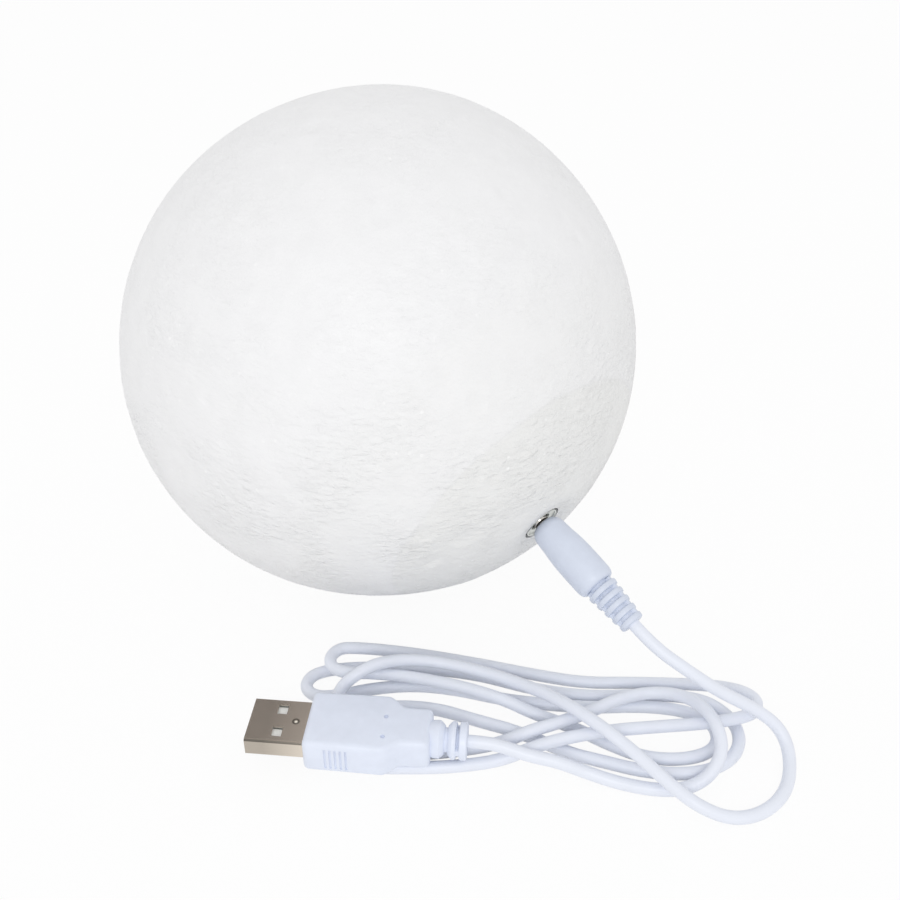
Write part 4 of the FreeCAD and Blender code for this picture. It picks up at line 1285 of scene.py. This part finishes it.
def seen_directly(tree):
    """1 where a ray comes from the camera, a reflection or a clear material, and 0 for light."""
    path = add_node(tree, "ShaderNodeLightPath")
    shown = add_node(
        tree, "ShaderNodeMath",
        {0: path.outputs["Is Camera Ray"], 1: path.outputs["Is Glossy Ray"]}, operation="MAXIMUM",
    ).outputs["Value"]
    return add_node(
        tree, "ShaderNodeMath", {0: shown, 1: path.outputs["Is Transmission Ray"]},
        operation="MAXIMUM",
    ).outputs["Value"]


def pale_floor():
    """Matt white paper: where it is seen it is mostly its own white, and it keeps a light
    shadow under the object."""
    material = bpy.data.materials.new("paper_white_matt")
    material.use_nodes = True
    tree = material.node_tree
    tree.nodes.clear()
    place = add_node(tree, "ShaderNodeTexCoord").outputs["Object"]
    fibre = add_node(
        tree, "ShaderNodeTexNoise", {"Vector": place, "Scale": 700.0, "Detail": 3.0}
    ).outputs["Fac"]
    tone = add_node(
        tree, "ShaderNodeMapRange", {"Value": fibre, "To Min": 0.94, "To Max": 0.96}
    ).outputs["Result"]
    paper = add_node(tree, "ShaderNodeBsdfDiffuse", {"Color": tone}).outputs["BSDF"]
    white = add_node(
        tree, "ShaderNodeEmission", {"Color": (1, 1, 1, 1), "Strength": 1.0}
    ).outputs["Emission"]
    share = add_node(
        tree, "ShaderNodeMath", {0: seen_directly(tree), 1: 0.92}, operation="MULTIPLY"
    ).outputs["Value"]
    mixed = add_node(tree, "ShaderNodeMixShader", {0: share, 1: paper, 2: white}).outputs["Shader"]
    add_node(tree, "ShaderNodeOutputMaterial", {"Surface": mixed})
    return material


class MOONLAMP_PT_panel(Panel):
    """Lists the lamp's settings and the steps that build it"""

    bl_idname = "MOONLAMP_PT_panel"
    bl_label = "Moon lamp"
    bl_space_type = "VIEW_3D"
    bl_region_type = "UI"
    bl_category = "Moon lamp"

    def draw(self, context):
        scene = context.scene
        groups = (
            (scene.moon_stage, ("azimuth", "elevation", "focal_length", "sky", "key"),
             ("moon_lamp.stage",)),
            (scene.moon_globe, ("print_colour", "cap_shade_colour", "relief", "craters", "lumps"),
             ("moon_lamp.globe", "moon_lamp.jack", "moon_lamp.light_module")),
            (scene.moon_plugs, ("barrel_colour", "usb_colour", "grip_round"),
             ("moon_lamp.jack_plug", "moon_lamp.usb_plug")),
            (scene.moon_cord, ("jacket_colour", "thickness"), ("moon_lamp.cord",)),
        )
        for settings, names, steps in groups:
            box = self.layout.box()
            for name in names:
                box.prop(settings, name)
            for step in steps:
                box.operator(step)


CLASSES = (
    GlobeSettings, PlugSettings, CordSettings, StageSettings,
    MOONLAMP_OT_stage, MOONLAMP_OT_cord, MOONLAMP_OT_jack_plug, MOONLAMP_OT_usb_plug,
    MOONLAMP_OT_globe, MOONLAMP_OT_jack, MOONLAMP_OT_light_module, MOONLAMP_PT_panel,
)
SETTINGS = {
    "moon_globe": GlobeSettings, "moon_plugs": PlugSettings,
    "moon_cord": CordSettings, "moon_stage": StageSettings,
}


def register():
    for cls in CLASSES:
        bpy.utils.register_class(cls)
    for name, kind in SETTINGS.items():
        setattr(bpy.types.Scene, name, PointerProperty(type=kind))


def unregister():
    for name in SETTINGS:
        delattr(bpy.types.Scene, name)
    for cls in reversed(CLASSES):
        bpy.utils.unregister_class(cls)


def main():
    register()
    bpy.ops.moon_lamp.stage()
    bpy.ops.moon_lamp.jack_plug()
    bpy.ops.moon_lamp.usb_plug()
    bpy.ops.moon_lamp.cord()
    bpy.ops.moon_lamp.globe()
    bpy.ops.moon_lamp.jack()
    bpy.ops.moon_lamp.light_module()


if __name__ == "__main__":
    main()
